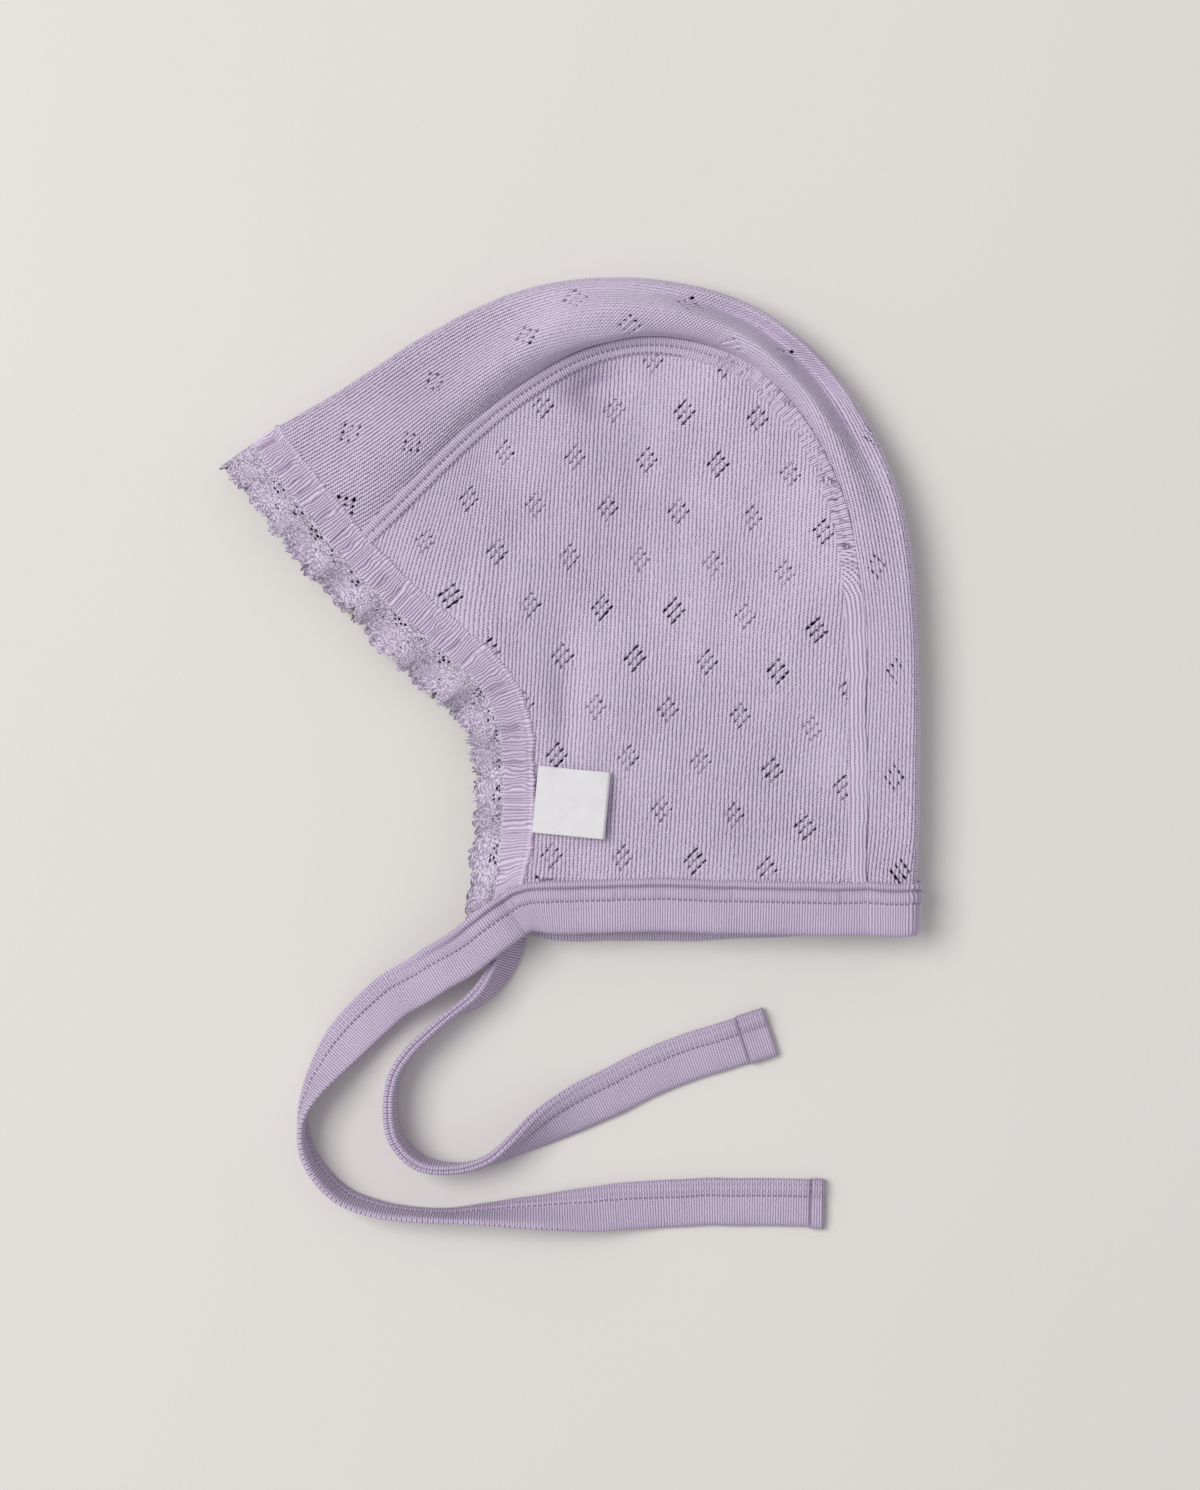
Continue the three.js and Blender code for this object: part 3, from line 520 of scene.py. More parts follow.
FINE = 1400
fine_ways = np.linspace(0, 1, FINE + 1)
guide, _, _ = on_sections(fine_ways, 12, 2)
guide_length = lengths(guide[:, 7])
STRIP_ROWS = 430
ways = np.interp(np.linspace(0, guide_length[-1], STRIP_ROWS + 1), guide_length, fine_ways)
places, normals, from_fold = on_sections(ways, UPPER_CELLS, LOWER_CELLS)
STRIP_LONG = guide_length[-1]
wale = from_fold / through(crown["pitch"], ways)[:, None]
course = np.broadcast_to((np.linspace(0, STRIP_LONG, STRIP_ROWS + 1) / COURSE)[:, None], wale.shape)
upper_side = 1 - smooth(from_fold, 0, 3)
skewed = smooth(ways, 0.16, 0.3) * (1 - smooth(ways, 0.55, 0.75))
skewed = skewed[:, None] * (0.75 + 0.25 * mottle(wale / 12 + 90, course / 22, 8))
# How firm the knit is, which sets how deep its painted gap shade is; where the knit is pulled askew it
# goes below 0.
firm = (1.6 - 0.9 * smooth(ways, 0.62, 0.8))[:, None] + 0.4 * mottle(wale / 14 + 90, course / 22, 5)
firm = firm * (1 - skewed) - 1.2 * skewed
rib = RIB_HIGH * (1 - skewed) * np.cos(2 * np.pi * wale) * upper_side
soft = 0.2 * mottle(wale / 13 + 90, course / 30, 6) + 0.1 * mottle(wale / 6 + 90, course / 8, 7)
from_seams = np.minimum(np.arange(wale.shape[1]), np.arange(wale.shape[1])[::-1])
places = places + normals * (rib + soft * smooth(from_seams, 0, 10))[..., None]
places[..., 2] = np.maximum(places[..., 2] + 0.14 * (normals[..., 2] < -0.5), 0.03)
# Places of the pointelle clusters on the upper half of the strip: shares of the way in from the seam
# to the fold, and courses from the forehead. The lower half has the same ones the other way round.
STRIP_CLUSTERS = [
    (0.2, 3),
    (0.57, 19.5),
    (0.21, 36),
    (0.49, 53.5),
    (0.44, 89.5),
    (0.63, 109),
    (0.31, 127.5),
    (0.6, 148),
    (0.19, 167),
    (0.51, 186.5),
    (0.71, 225.5),
    (0.23, 270),
    (0.39, 307),
    (0.36, 343),
    (0.46, 375),
]
EYELETS = [(i, j) for i in (-1, 0, 1) for j in (-1, 0, 1)]


def eyelets_of(clusters, across, along):
    """Centres and sizes of the nine eyelets of each cluster: a diamond with a small one inside."""
    pick = np.random.default_rng(66)
    eyelets = []
    for w, c in clusters:
        open_share = pick.uniform(0.72, 1.12)
        for i, j in EYELETS:
            size = open_share * pick.uniform(0.78, 1.08) * (1.0 if i or j else 0.7)
            eyelets.append((w + (i - j) * across, c + (i + j) * along, size))
    return eyelets


def cluster_relief(wale, course, clusters, across, along):
    """The cloth's slanting cords between the three rows of eyelets of each cluster."""
    high = np.zeros(wale.shape)
    for w, c in clusters:
        i = ((course - c) / along + (wale - w) / across) / 2
        j = ((course - c) / along - (wale - w) / across) / 2
        high -= np.exp(-((i / 1.3) ** 4) - (j / 1.3) ** 4) * (0.07 + 0.19 * np.cos(2 * np.pi * j))
    return high


# Two stretches of the strip, by the courses at which they start and end: how far apart and how
# wide the eyelets are there, and how far they slant.
STRIP_STRETCHES = [(0, 215, 1.46, 0.52, 0.2), (215, 400, 1.12, 0.43, 0.5)]
kept = True
for first, last, across, wide, slant in STRIP_STRETCHES:
    clusters = []
    for share, at in STRIP_CLUSTERS:
        if first <= at < last:
            row = min(round(at * COURSE / STRIP_LONG * STRIP_ROWS), STRIP_ROWS)
            clusters.append((wale[row, round(share * UPPER_CELLS)], at))
            clusters.append((wale[row, -1 - round(share * LOWER_CELLS)], at + 9))
    places = places + normals * cluster_relief(wale, course, clusters, across, 1.9)[..., None]
    kept = kept & pierce(places, wale, course, eyelets_of(clusters, across, 1.9), wide, 0.78, slant)
yarn = np.stack([wale, course, firm], -1)
crown_strip = skin("crown_strip_cloth", places, yarn, knit, kept, 0.8, normals)
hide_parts("crown_strip")

# Side panels
# Two D-shaped panels of the same pointelle knit, wales upright. The upper one hangs from its seams
# and sags between them, with soft dents, and the lower one lies flat on the table.
FACE_STAND = 12.0
PANEL_SAG = 2.0
SEAM_DROP = 2.1
PANEL_CORNER = 0.55
WALE = 0.948
WALE_LEAN = 0.06
PANEL_ROW = 0.47
SKIRT = 0.014
PEEK = 3.7

# Rows of the face edge from the neck corner to the crown seam: back and up as shares of DEPTH and
# HEIGHT, the bearing in which the lace points, height as a share of FACE_STAND, and the lace's reach.
FACE_COLUMNS = ("back", "up", "out", "stand", "spread")
FACE_ROWS = [
    (0.619, 0.012, 207, 1.0, 0.78),
    (0.606, 0.076, 183, 0.98, 0.74),
    (0.603, 0.158, 180, 0.93, 0.74),
    (0.606, 0.241, 184, 0.87, 0.8),
    (0.62, 0.307, 200, 0.82, 0.95),
    (0.652, 0.363, 216, 0.8, 1.02),
    (0.698, 0.406, 225, 0.8, 1.04),
    (0.761, 0.463, 227, 0.82, 1.0),
    (0.816, 0.518, 225, 0.86, 0.95),
    (0.869, 0.576, 220, 0.91, 0.95),
]
face = dict(zip(FACE_COLUMNS, np.array(FACE_ROWS).T))
# Rows of the neck edge from the neck corner to the nape: back, and how far the edge sinks as a
# share of TAPE_WIDTH.
NECK_ROWS = [
    (0.652, 0.36),
    (0.634, 0.18),
    (0.613, 0.085),
    (0.58, 0.03),
    (0.5, 0.0),
    (0.34, 0.0),
    (0.2, 0.035),
    (0.1, 0.06),
]
NAPE_SINK = 0.06
nape_fold, _, nape_wide, _ = crown_sections(np.array([1.0]))
nape_back = (BACK - nape_fold[0, 0] + nape_wide[0]) / DEPTH
neck_back, neck_sink = np.array([*NECK_ROWS, (nape_back, NAPE_SINK)]).T


def face_line(way, upper):
    """The face edge from the neck corner (0) to the crown seam (1)."""
    x = BACK - through(face["back"], way) * DEPTH
    y = NECK + through(face["up"], way) * HEIGHT
    z = through(face["stand"], way) * FACE_STAND if upper else under_lift(y)
    return np.stack([x, y, z], -1)


def neck_line(way, upper):
    """The neck edge, the binding's upper edge, from the neck corner (0) to the nape seam (1)."""
    x = BACK - through(neck_back, way) * DEPTH
    y = NECK + NECK_LIFT - through(neck_sink, way) * TAPE_WIDTH
    if upper:
        nape_high = crown["seam"][-1] * PUFF
        rise = smooth(way, 0.15, 0.95)
        z = face["stand"][0] * FACE_STAND * (1 - rise) + nape_high * rise
    else:
        y = y - PEEK * smooth(way, 0.22, 0.48) * (1 - smooth(way, 0.58, 0.95))
        z = under_lift(y - 100)
    return np.stack([x, y, z], -1)


def seam_line(way, upper):
    """The seam of the crown strip with a side panel."""
    fold, inward, wide, line = crown_sections(way)
    at = fold + inward * (wide + SEWN_GAP / 2)[:, None]
    at[:, 2] = line[:, 0, 1] if upper else line[:, -1, 1]
    return at


def way_to(values, wanted):
    """The ways through a table's column, which runs one way only, at which it has wanted values."""
    fine = np.linspace(0, 1, 2001)
    column = through(values, fine)
    order = slice(None) if column[-1] > column[0] else slice(None, None, -1)
    return np.interp(wanted, column[order], fine[order])


def panel_edges(upper):
    """Fine lines of a panel's four edges: neck, face, the seam's back stretch and its top stretch."""
    share = np.linspace(0, 1, 801)
    low_back = face["back"][0] + (neck_back[-1] - face["back"][0]) * share
    low = neck_line(way_to(neck_back, low_back), upper)
    front = face_line(share, upper) - SEWN_GAP * compass(through(face["out"], share))
    front[0] = low[0]
    back = seam_line(1 + (PANEL_CORNER - 1) * share, upper)
    top = seam_line(0.012 + (PANEL_CORNER - 0.012) * share, upper)
    return low, front, back, top


# Dents and swells of the upper panel: back, up, half-lengths across and along in the same shares,
# and height in millimetres.
PANEL_DENTS = [
    (0.507, 0.82, 0.043, 0.04, -6.2),
    (0.55, 0.285, 0.024, 0.11, -4.2),
    (0.61, 0.32, 0.024, 0.1, 1.1),
    (0.25, 0.5, 0.1, 0.16, 0.8),
    (0.13, 0.3, 0.02, 0.26, 0.6),
    (0.46, 0.1, 0.1, 0.06, -0.6),
    (0.36, 0.28, 0.02, 0.16, -0.4),
    (0.43, 0.55, 0.022, 0.16, -0.5),
    (0.3, 0.8, 0.06, 0.05, 0.5),
    (0.71, 0.5, 0.03, 0.05, -0.5),
    (0.37, 0.89, 0.12, 0.035, -2.0),
    (0.68, 0.74, 0.05, 0.04, -0.8),
]


def patch(edges, u, v, upper):
    """A place on a panel, u of the way from the face to the nape and v from the neck to the crown."""
    low, front, back, top = edges

    def at(line, share):
        place = np.clip(share, -0.05, 1.05) * (len(line) - 1)
        i = np.clip(np.floor(place).astype(int), 0, len(line) - 2)
        f = (place - i)[:, None]
        return line[i] * (1 - f) + line[i + 1] * f

    s, t = u[:, None], v[:, None]
    corners = (low[0] * (1 - s) + low[-1] * s) * (1 - t) + (top[0] * (1 - s) + top[-1] * s) * t
    made = at(low, u) * (1 - t) + at(top, u) * t + at(front, v) * (1 - s) + at(back, v) * s - corners
    if not upper:
        made[:, 2] = under_lift(made[:, 1])
        return made
    inside = np.clip(5 * u, 0, 1) * np.clip(6 * (1 - u), 0, 1)
    inside = inside * smooth(v, 0.03, 0.2) * np.clip(14 * (1 - v), 0, 1)
    round_u = np.clip(u * (1 - u), 0, 1)
    sag = -PANEL_SAG * 4 * round_u * smooth(v, 0.04, 0.5) * smooth(1 - v, 0, 0.5)
    under_seam = smooth(u, 0.02, 0.2) * (1 - 0.7 * smooth(u, 0.55, 0.95)) * smooth(v, 0.3, 0.8)
    sag = sag - SEAM_DROP * under_seam * (1 - np.exp(-np.clip(1 - v, 0, 1) / 0.075))
    for back_at, up_at, wide, high, rise in PANEL_DENTS:
        across = (made[:, 0] - BACK + back_at * DEPTH) / (wide * DEPTH)
        along = (made[:, 1] - NECK - up_at * HEIGHT) / (high * HEIGHT)
        sag = sag + inside * rise * np.exp(-across * across - along * along)
    made[:, 2] += sag
    return made


def find_on_panel(edges, x, y, upper):
    """The u and v of places on a panel, by Newton's steps from the nearest of a coarse grid."""
    u0, v0 = (g.ravel() for g in np.meshgrid(np.linspace(0, 1, 25), np.linspace(0, 1, 25)))
    coarse = patch(edges, u0, v0, upper)
    u, v = np.empty(len(x)), np.empty(len(x))
    for k in range(0, len(x), 20000):
        away = (coarse[None, :, 0] - x[k : k + 20000, None]) ** 2
        away += (coarse[None, :, 1] - y[k : k + 20000, None]) ** 2
        best = away.argmin(1)
        u[k : k + 20000], v[k : k + 20000] = u0[best], v0[best]
    step = 0.002
    for _ in range(9):
        p = patch(edges, u, v, upper)
        du = (patch(edges, u + step, v, upper) - p) / step
        dv = (patch(edges, u, v + step, upper) - p) / step
        area = du[:, 0] * dv[:, 1] - du[:, 1] * dv[:, 0]
        area = np.where(np.abs(area) < 1e-3, 1e-3, area)
        ex, ey = x - p[:, 0], y - p[:, 1]
        u = np.clip(u + np.clip((ex * dv[:, 1] - ey * dv[:, 0]) / area, -0.2, 0.2), -0.04, 1.04)
        v = np.clip(v + np.clip((du[:, 0] * ey - du[:, 1] * ex) / area, -0.2, 0.2), -0.04, 1.04)
    return u, v


# The pointelle pattern of a panel: clusters 18 wales apart, every other row shifted by half of that,
# on courses that droop towards the back and rise towards the face.
EYELET_ACROSS = 1.12
EYELET_ALONG = 1.9
CLUSTER_WALES = 18
CLUSTER_COURSES = 17
PATTERN_X = -18.3
PATTERN_Y = 54.6


def panel_course(x, y):
    """Courses up from the pattern's first row at a place on a panel."""
    back = (x + 12) / 50
    return (y - PATTERN_Y + 1.8 * back + 1.9 * back**2 + 4.0 * back**3) / COURSE


def side_panel(name, upper, samples, row, rim):
    """One panel: a grid whose columns follow the wales, cut to the panel's outline."""
    edges = panel_edges(upper)
    outline = np.concatenate(edges)
    low, high = outline.min(0), outline.max(0)
    lean_room = WALE_LEAN * (high[1] - PATTERN_Y)
    first = math.floor((low[0] - PATTERN_X - lean_room) / WALE) - 1
    last = math.ceil((high[0] - PATTERN_X + WALE_LEAN * (PATTERN_Y - low[1])) / WALE) + 1
    count = np.arange((last - first) * samples + 1) / samples + first
    rows = np.arange(low[1] - row, high[1] + row, row)
    y = np.broadcast_to(rows[:, None], (len(rows), len(count))).copy()
    wale = np.broadcast_to(count, y.shape)
    x = PATTERN_X + wale * WALE + WALE_LEAN * (y - PATTERN_Y)
    fan = 0.22 * smooth(-x, 42, 66) * (y - 24) * smooth(y, -20, 10)
    drift = 0.34 * mottle(x / 13 + 40, y / 17 + 40, 61) + 0.12 * mottle(x / 4 + 40, y / 7 + 40, 62)
    x = x + fan + drift
    u, v = find_on_panel(edges, x.ravel(), y.ravel(), upper)
    inside = (u > 0) & (u < 1) & (v > -SKIRT) & (v < 1)
    there = patch(edges, np.clip(u, 0, 1), np.clip(v, -SKIRT, 1), upper)
    off = np.hypot(there[:, 0] - x.ravel(), there[:, 1] - y.ravel())
    inside &= off < 0.3
    inside = inside.reshape(y.shape)
    near = (off < 3 * row).reshape(y.shape)
    places = there.reshape(*y.shape, 3)
    grown = inside[:-1, :-1].astype(int) + inside[1:, :-1] + inside[:-1, 1:] + inside[1:, 1:]
    all_near = near[:-1, :-1] & near[1:, :-1] & near[:-1, 1:] & near[1:, 1:]
    course = panel_course(x, y)
    side = 1 if upper else -1
    # How firm the knit is: it sets the wales' relief and how deep their painted gap shade is.
    firm = 0.5 + 0.5 * mottle(x / 11 + 40, y / 15 + 40, 63)
    relief = 1.15 * RIB_HIGH * (0.75 + 0.6 * firm) * np.cos(2 * np.pi * wale)
    if upper:
        relief += 0.34 * mottle(x / 9 + 40, y / 13 + 40, 64)
        relief += 0.14 * mottle(x / 3.4 + 40, y / 5 + 40, 65)
    places[..., 2] += side * relief + (0 if upper else 0.2)
    slope_x = np.gradient(places[..., 2], axis=1) / np.gradient(x, axis=1)
    slope_y = np.gradient(places[..., 2], axis=0) / row
    normals = unit(np.stack([-slope_x, -slope_y, 0 * x + 1], -1)) * side
    clusters = []
    for i in range(-1, 11):
        for j in range(-6, 7):
            w = CLUSTER_WALES * (j + 0.5 * (i % 2))
            c = -CLUSTER_COURSES * i
            clusters.append((w, c))

    def eyelet_clear(w, c, size):
        at = np.abs(wale - w) + np.abs(course - c)
        k = at.argmin()
        return y.flat[k] > NECK + NECK_LIFT + 1.2 and v[k] < 0.955 and u[k] < 0.965

    cords = cluster_relief(wale, course, clusters, EYELET_ACROSS, EYELET_ALONG)
    places = places + normals * cords[..., None]
    eyelets = [e for e in eyelets_of(clusters, EYELET_ACROSS, EYELET_ALONG) if eyelet_clear(*e)]
    kept = pierce(places, wale, course, eyelets, 0.42, 0.88, 0.55)
    kept &= (grown >= 2) & all_near
    yarn = np.stack([wale, course, firm], -1)
    places[..., 2] = np.maximum(places[..., 2], 0.03)
    piece = skin(name + "_cloth", places, yarn, knit, kept, rim, normals)
    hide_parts(name)
    return piece, edges


panel_left, left_edges = side_panel("side_panel_left", True, 3, PANEL_ROW, 0.8)
panel_right, right_edges = side_panel("side_panel_right", False, 2, 1.0, 0.5)

# Crown seams
# The strip is sewn to each panel with a flat elastic seam: two rows of cross stitches, seen as a
# band of two soft humps of fine threads, with a line of needle holes between them and one beside.
BAND = 4.3
BAND_HUMP = 0.55
THREAD_PITCH = 0.62
# Fine ribs: the yarn pattern's x counts the threads that lie across a band or tape. Height is their
# shape, the gap output paints shade into the gaps between them, and Needle paints shade into a line
# of stitches and pinches at y equal to Line.
inputs = {"Yarn": "Vector", "Line": "Float"}
group, given, sink = effect_group("Fine ribs", inputs, ["Needle", "Height", "Gap shade"])
source, line_at = given["Yarn"], given["Line"]
parts = parts_of(group, source)
bend = noise(group, source, 0.35, 2.0)
bend = maths(group, "SUBTRACT", bend, 0.5)
turn = maths(group, "MULTIPLY", maths(group, "MULTIPLY_ADD", bend, 0.5, parts["X"]), 2 * math.pi)
wave = maths(group, "COSINE", turn)
step = maths(group, "MULTIPLY_ADD", turn, 0.5, maths(group, "MULTIPLY", parts["Y"], 2 * math.pi / 0.56))
beads = maths(group, "COSINE", step)
group.links.new(maths(group, "MULTIPLY_ADD", beads, 0.25, wave), sink["Height"])
gap = ramp(group, wave, 0.3, -1.0, "SMOOTHSTEP")
# Painted shade in the gaps between the threads.
gap_shade = maths(group, "MULTIPLY", gap, maths(group, "MULTIPLY_ADD", beads, 0.4, 0.6))
group.links.new(gap_shade, sink["Gap shade"])
# Painted shade along the needle line, in dashes, and in pinches beside it.
away = maths(group, "SUBTRACT", maths(group, "MULTIPLY_ADD", bend, 0.5, parts["Y"]), line_at)
near = ramp(group, maths(group, "ABSOLUTE", away), 0.3, 0.1)
dashes = maths(group, "COSINE", maths(group, "MULTIPLY", turn, 0.5))
dashes = maths(group, "MULTIPLY_ADD", dashes, 0.45, 0.55)
only_x = add_node(group, "ShaderNodeCombineXYZ", {"X": parts["X"]}).outputs[0]
pinch = noise(group, only_x, 0.9, 1.0)
pinch = ramp(group, pinch, 0.56, 0.68)
beside = maths(group, "ABSOLUTE", maths(group, "ADD", away, 0.4))
beside = ramp(group, beside, 1.5, 0.5)
pinch = maths(group, "MULTIPLY", maths(group, "MULTIPLY", pinch, beside), gap)
needle = maths(group, "MAXIMUM", maths(group, "MULTIPLY", near, dashes), pinch)
group.links.new(needle, sink["Needle"])


def ribbed_material(name, light, dark, depth, line_at=-9.0):
    """Fine yarn across a band, with painted shade between its threads and along its needle line. The
    pattern's z adds painted shadow, up to 1, or pales it with painted light below 0.
    """
    material, tree, shader, place = new_material(name, 0.9, 0.12)
    yarn = yarn_pattern(tree)
    ribs = add_node(tree, "ShaderNodeGroup", node_tree=bpy.data.node_groups["Fine ribs"])
    tree.links.new(yarn, ribs.inputs["Yarn"])
    ribs.inputs["Line"].default_value = line_at
    holes = parts_of(tree, yarn)["Z"]
    fuzz = noise(tree, place, 2600.0, 2.0)
    patches = noise(tree, place, 80.0, 2.0)
    speckle = maths(tree, "MULTIPLY_ADD", fuzz, 0.4, -0.2)
    share = maths(tree, "MULTIPLY_ADD", ribs.outputs["Gap shade"], depth, speckle)
    share = maths(tree, "ADD", share, maths(tree, "MULTIPLY_ADD", patches, 0.24, -0.12))
    share = maths(tree, "MAXIMUM", share, maths(tree, "MULTIPLY", ribs.outputs["Needle"], 0.85))
    # The pattern's z: painted shadow above 0, painted light below 0.
    share = maths(tree, "ADD", share, maths(tree, "MINIMUM", holes, 0.0))
    share = maths(tree, "MAXIMUM", share, holes)
    tree.links.new(blend(tree, share, linear(*light), linear(*dark)), shader.inputs["Base Color"])
    height = maths(tree, "MULTIPLY_ADD", fuzz, 0.5, ribs.outputs["Height"])
    add_relief(tree, shader, height, 0.00009, 0.7)
    return material


# Its needle line beside the band, at 3.95 mm, is drawn as painted shade.
seam_thread = ribbed_material("seam_thread", (222, 208, 232), (98, 78, 110), 1.0, 3.95)


def evenly(line, step, *others):
    """A line of points and the values that go with it, respaced to an even step."""
    along = lengths(line)
    count = max(2, round(along[-1] / step))
    wanted = np.linspace(0, along[-1], count + 1)

    def respace(values):
        values = np.asarray(values, float)
        if values.ndim == 1:
            return np.interp(wanted, along, values)
        return np.stack([np.interp(wanted, along, values[:, k]) for k in range(values.shape[1])], -1)

    return wanted, respace(line), *(respace(values) for values in others)


def soften(values, reach):
    """Values along a line, each averaged with its neighbours up to reach stations away."""
    window = np.hanning(2 * reach + 3)[1:-1]
    window /= window.sum()
    ends = [values[:1].repeat(reach, 0), values, values[-1:].repeat(reach, 0)]
    long = np.concatenate(ends)
    if values.ndim == 1:
        return np.convolve(long, window, "valid")
    return np.stack([np.convolve(long[:, k], window, "valid") for k in range(values.shape[1])], -1)


def seam_band(name, edges, upper, step, across_cells):
    """The flat seam along a panel's whole crown edge, from the forehead to the nape."""
    seam_ways = np.linspace(0.004, 1, 1200)
    edge = seam_line(seam_ways, upper)
    along, edge = evenly(edge, step)
    run = soften(unit(np.gradient(edge, axis=0)), 20)
    inward = unit(np.cross([0, 0, 1.0], run))
    panel_middle = np.array([(BACK - 0.45 * DEPTH), NECK + 0.45 * HEIGHT, 0])
    inward *= np.sign(((panel_middle - edge) * inward).sum(1).mean())
    # The seam is flat over the brow. Down the back its inner edge is drawn into ragged puckers
    # (slack), and lower down it is a smooth fold that laps over the strip (hem).
    to_end = along[-1] - along
    slack = smooth(150 - to_end, 0, 25)[:, None]
    hem = smooth(88 - to_end, 0, 22)[:, None]
    share = np.linspace(0, 1, across_cells + 1)
    lap = 0.35 + 0.4 * wander(along / 7, 12) + 0.12 * wander(along / 1.3, 13)
    in_by = share * BAND - 0.25 - lap[:, None] * hem * (1 - share)
    x = edge[:, None, 0] + inward[:, None, 0] * in_by
    y = edge[:, None, 1] + inward[:, None, 1] * in_by
    u, v = find_on_panel(edges, x.ravel(), y.ravel(), upper)
    under = patch(edges, np.clip(u, 0, 1), np.clip(v, 0, 1), upper)[:, 2].reshape(x.shape)
    under = np.stack([soften(under[:, k], 12) for k in range(across_cells + 1)], 1)
    humps = np.abs(np.sin(2 * np.pi * share)) ** 0.6 * BAND_HUMP * (1 - 0.25 * share)
    side = 1 if upper else -1
    thread = along / THREAD_PITCH + 0.25 * wander(along / 4, 3)
    ribs = 0.1 * np.cos(2 * np.pi * thread)[:, None] * (np.abs(np.sin(2 * np.pi * share)) ** 0.5)
    holes = np.exp(-(((share - 0.5) / 0.055) ** 2))
    stitch = 0.5 + 0.5 * np.cos(2 * np.pi * thread / 2)
    across_mm = share[None] * BAND
    dashes = mottle(along[:, None] / 0.85 + 0.6 * across_mm, (across_mm - 0.4 * along[:, None]) / 2.4, 4)
    puckers = np.clip(dashes - 0.1, 0, 1) * slack * (1 - hem) * smooth(share, 0, 0.15)
    ribs = ribs * (1 - slack)
    humps = humps * (1 - 0.45 * slack) * (1 - hem) + 0.6 * hem * (1 - smooth(share, 0.78, 1.0))
    z = under + side * (0.12 + humps + ribs - 0.3 * holes * (1 - hem) * stitch[:, None] - 0.6 * puckers)
    # Painted shade: in the line of needle holes, in the puckers, and along the hem's lapped outer edge,
    # with a fainter line at its inner step.
    needle_hole_shade = 0.95 * holes * (1 - slack) * (0.15 + 0.85 * stitch[:, None])
    hem_edge = np.exp(-((share / 0.07) ** 2)) * (0.85 + 0.15 * wander(along / 1.1, 14)[:, None])
    hem_edge = hem_edge + 0.25 * np.exp(-(((share - 0.93) / 0.05) ** 2))
    shade = np.clip(needle_hole_shade + 1.5 * puckers + hem_edge * hem, 0, 1)
    ragged = 0.35 * wander(along / 1.6, 9)[:, None] * slack * (1 - 0.75 * hem) * share[None]
    x, y = x + inward[:, None, 0] * ragged, y + inward[:, None, 1] * ragged
    z[:, 0] -= side * (0.5 - 0.3 * (slack * (1 - hem))[:, 0])
    z[:, -1] -= side * 0.12
    if not upper:
        z = np.maximum(z + 0.75, 0.04)
    places = np.stack([x, y, z], -1)
    threads_run = np.cumsum(np.diff(thread, prepend=0)[:, None] * (1 - hem), 0)
    rows = threads_run + hem * across_mm / 0.9
    lines = across_mm * (1 - slack) - 20 * slack - np.cumsum(0.8 * step * slack, 0)
    yarn = np.stack([rows, lines, shade], -1)
    flip = side * np.sign(np.cross(run, inward)[:, 2].mean())
    if flip < 0:
        places, yarn = places[:, ::-1], yarn[:, ::-1]
    return skin(name, places, yarn, seam_thread)


seam_left = seam_band("crown_seam_left", left_edges, True, 0.16, 16)
seam_right = seam_band("crown_seam_right", right_edges, False, 0.5, 8)

# Lace heading
# The gathered inner band of the lace edging, sewn over the knit's face edge on both sides and round
# the forehead fold: fine upright pleats, a corded edge over the knit, and a line of stitches.
FOREHEAD_OUT = 214
FOREHEAD_SPREAD = 1.06
HEADING = 6.4
PLEAT = 0.8
TUCK = 3.0


def face_edging(step):
    """The line that the lace edging follows, from the upper neck corner round the forehead to the
    lower one, evenly spaced: the edge, the ways out and up from it, and how far the lace reaches."""
    side = np.linspace(0, 1, 900)
    edge = face_line(side, True) - [0, 0, CLOTH / 2]
    out = compass(through(face["out"], side))
    spread = through(face["spread"], side)
    up = np.array([[0, 0, 1.0]]).repeat(len(side), 0)
    low_edge = face_line(side, False) + [0, 0, CLOTH / 2 + 0.3]
    fold, inward, wide, line = crown_sections(np.array([0.0]))
    run = unit(np.gradient(line[0], axis=0))
    round_up = inward * run[:, 1:] - np.array([[0, 0, 1.0]]) * run[:, :1]
    across = fold + inward * line[0, :, :1]
    across[:, 2] = line[0, :, 1] + 0.3 * (round_up[:, 2] < -0.9)
    across = across - round_up * CLOTH / 2
    middle = np.sin(np.pi * np.linspace(0, 1, len(across))) ** 2
    turn_out = compass(face["out"][-1] + (FOREHEAD_OUT - face["out"][-1]) * middle)
    turn_spread = face["spread"][-1] + (FOREHEAD_SPREAD - face["spread"][-1]) * middle
    edge = np.concatenate([edge, across[4:-4], low_edge[::-1]])
    out = np.concatenate([out, turn_out[4:-4], out[::-1]])
    up = np.concatenate([up, round_up[4:-4], -up])
    spread = np.concatenate([spread, turn_spread[4:-4], spread[::-1]])
    tuck = np.linspace(TUCK, 0.1, 30)[:, None]
    first, last = unit(edge[0] - edge[20]), unit(edge[-1] - edge[-21])
    edge = np.concatenate([edge[0] + first * tuck, edge, edge[-1] + last * tuck[::-1]])
    out = np.concatenate([out[:1].repeat(30, 0), out, out[-1:].repeat(30, 0)])
    up = np.concatenate([up[:1].repeat(30, 0), up, up[-1:].repeat(30, 0)])
    spread = np.concatenate([spread[:1].repeat(30), spread, spread[-1:].repeat(30)])
    along, edge, out, up, spread = evenly(edge, step, out, up, spread)
    reach = round(2.2 / step)
    out, up = unit(soften(out, reach)), unit(soften(up, reach))
    return along, soften(edge, reach // 2), out, up, spread


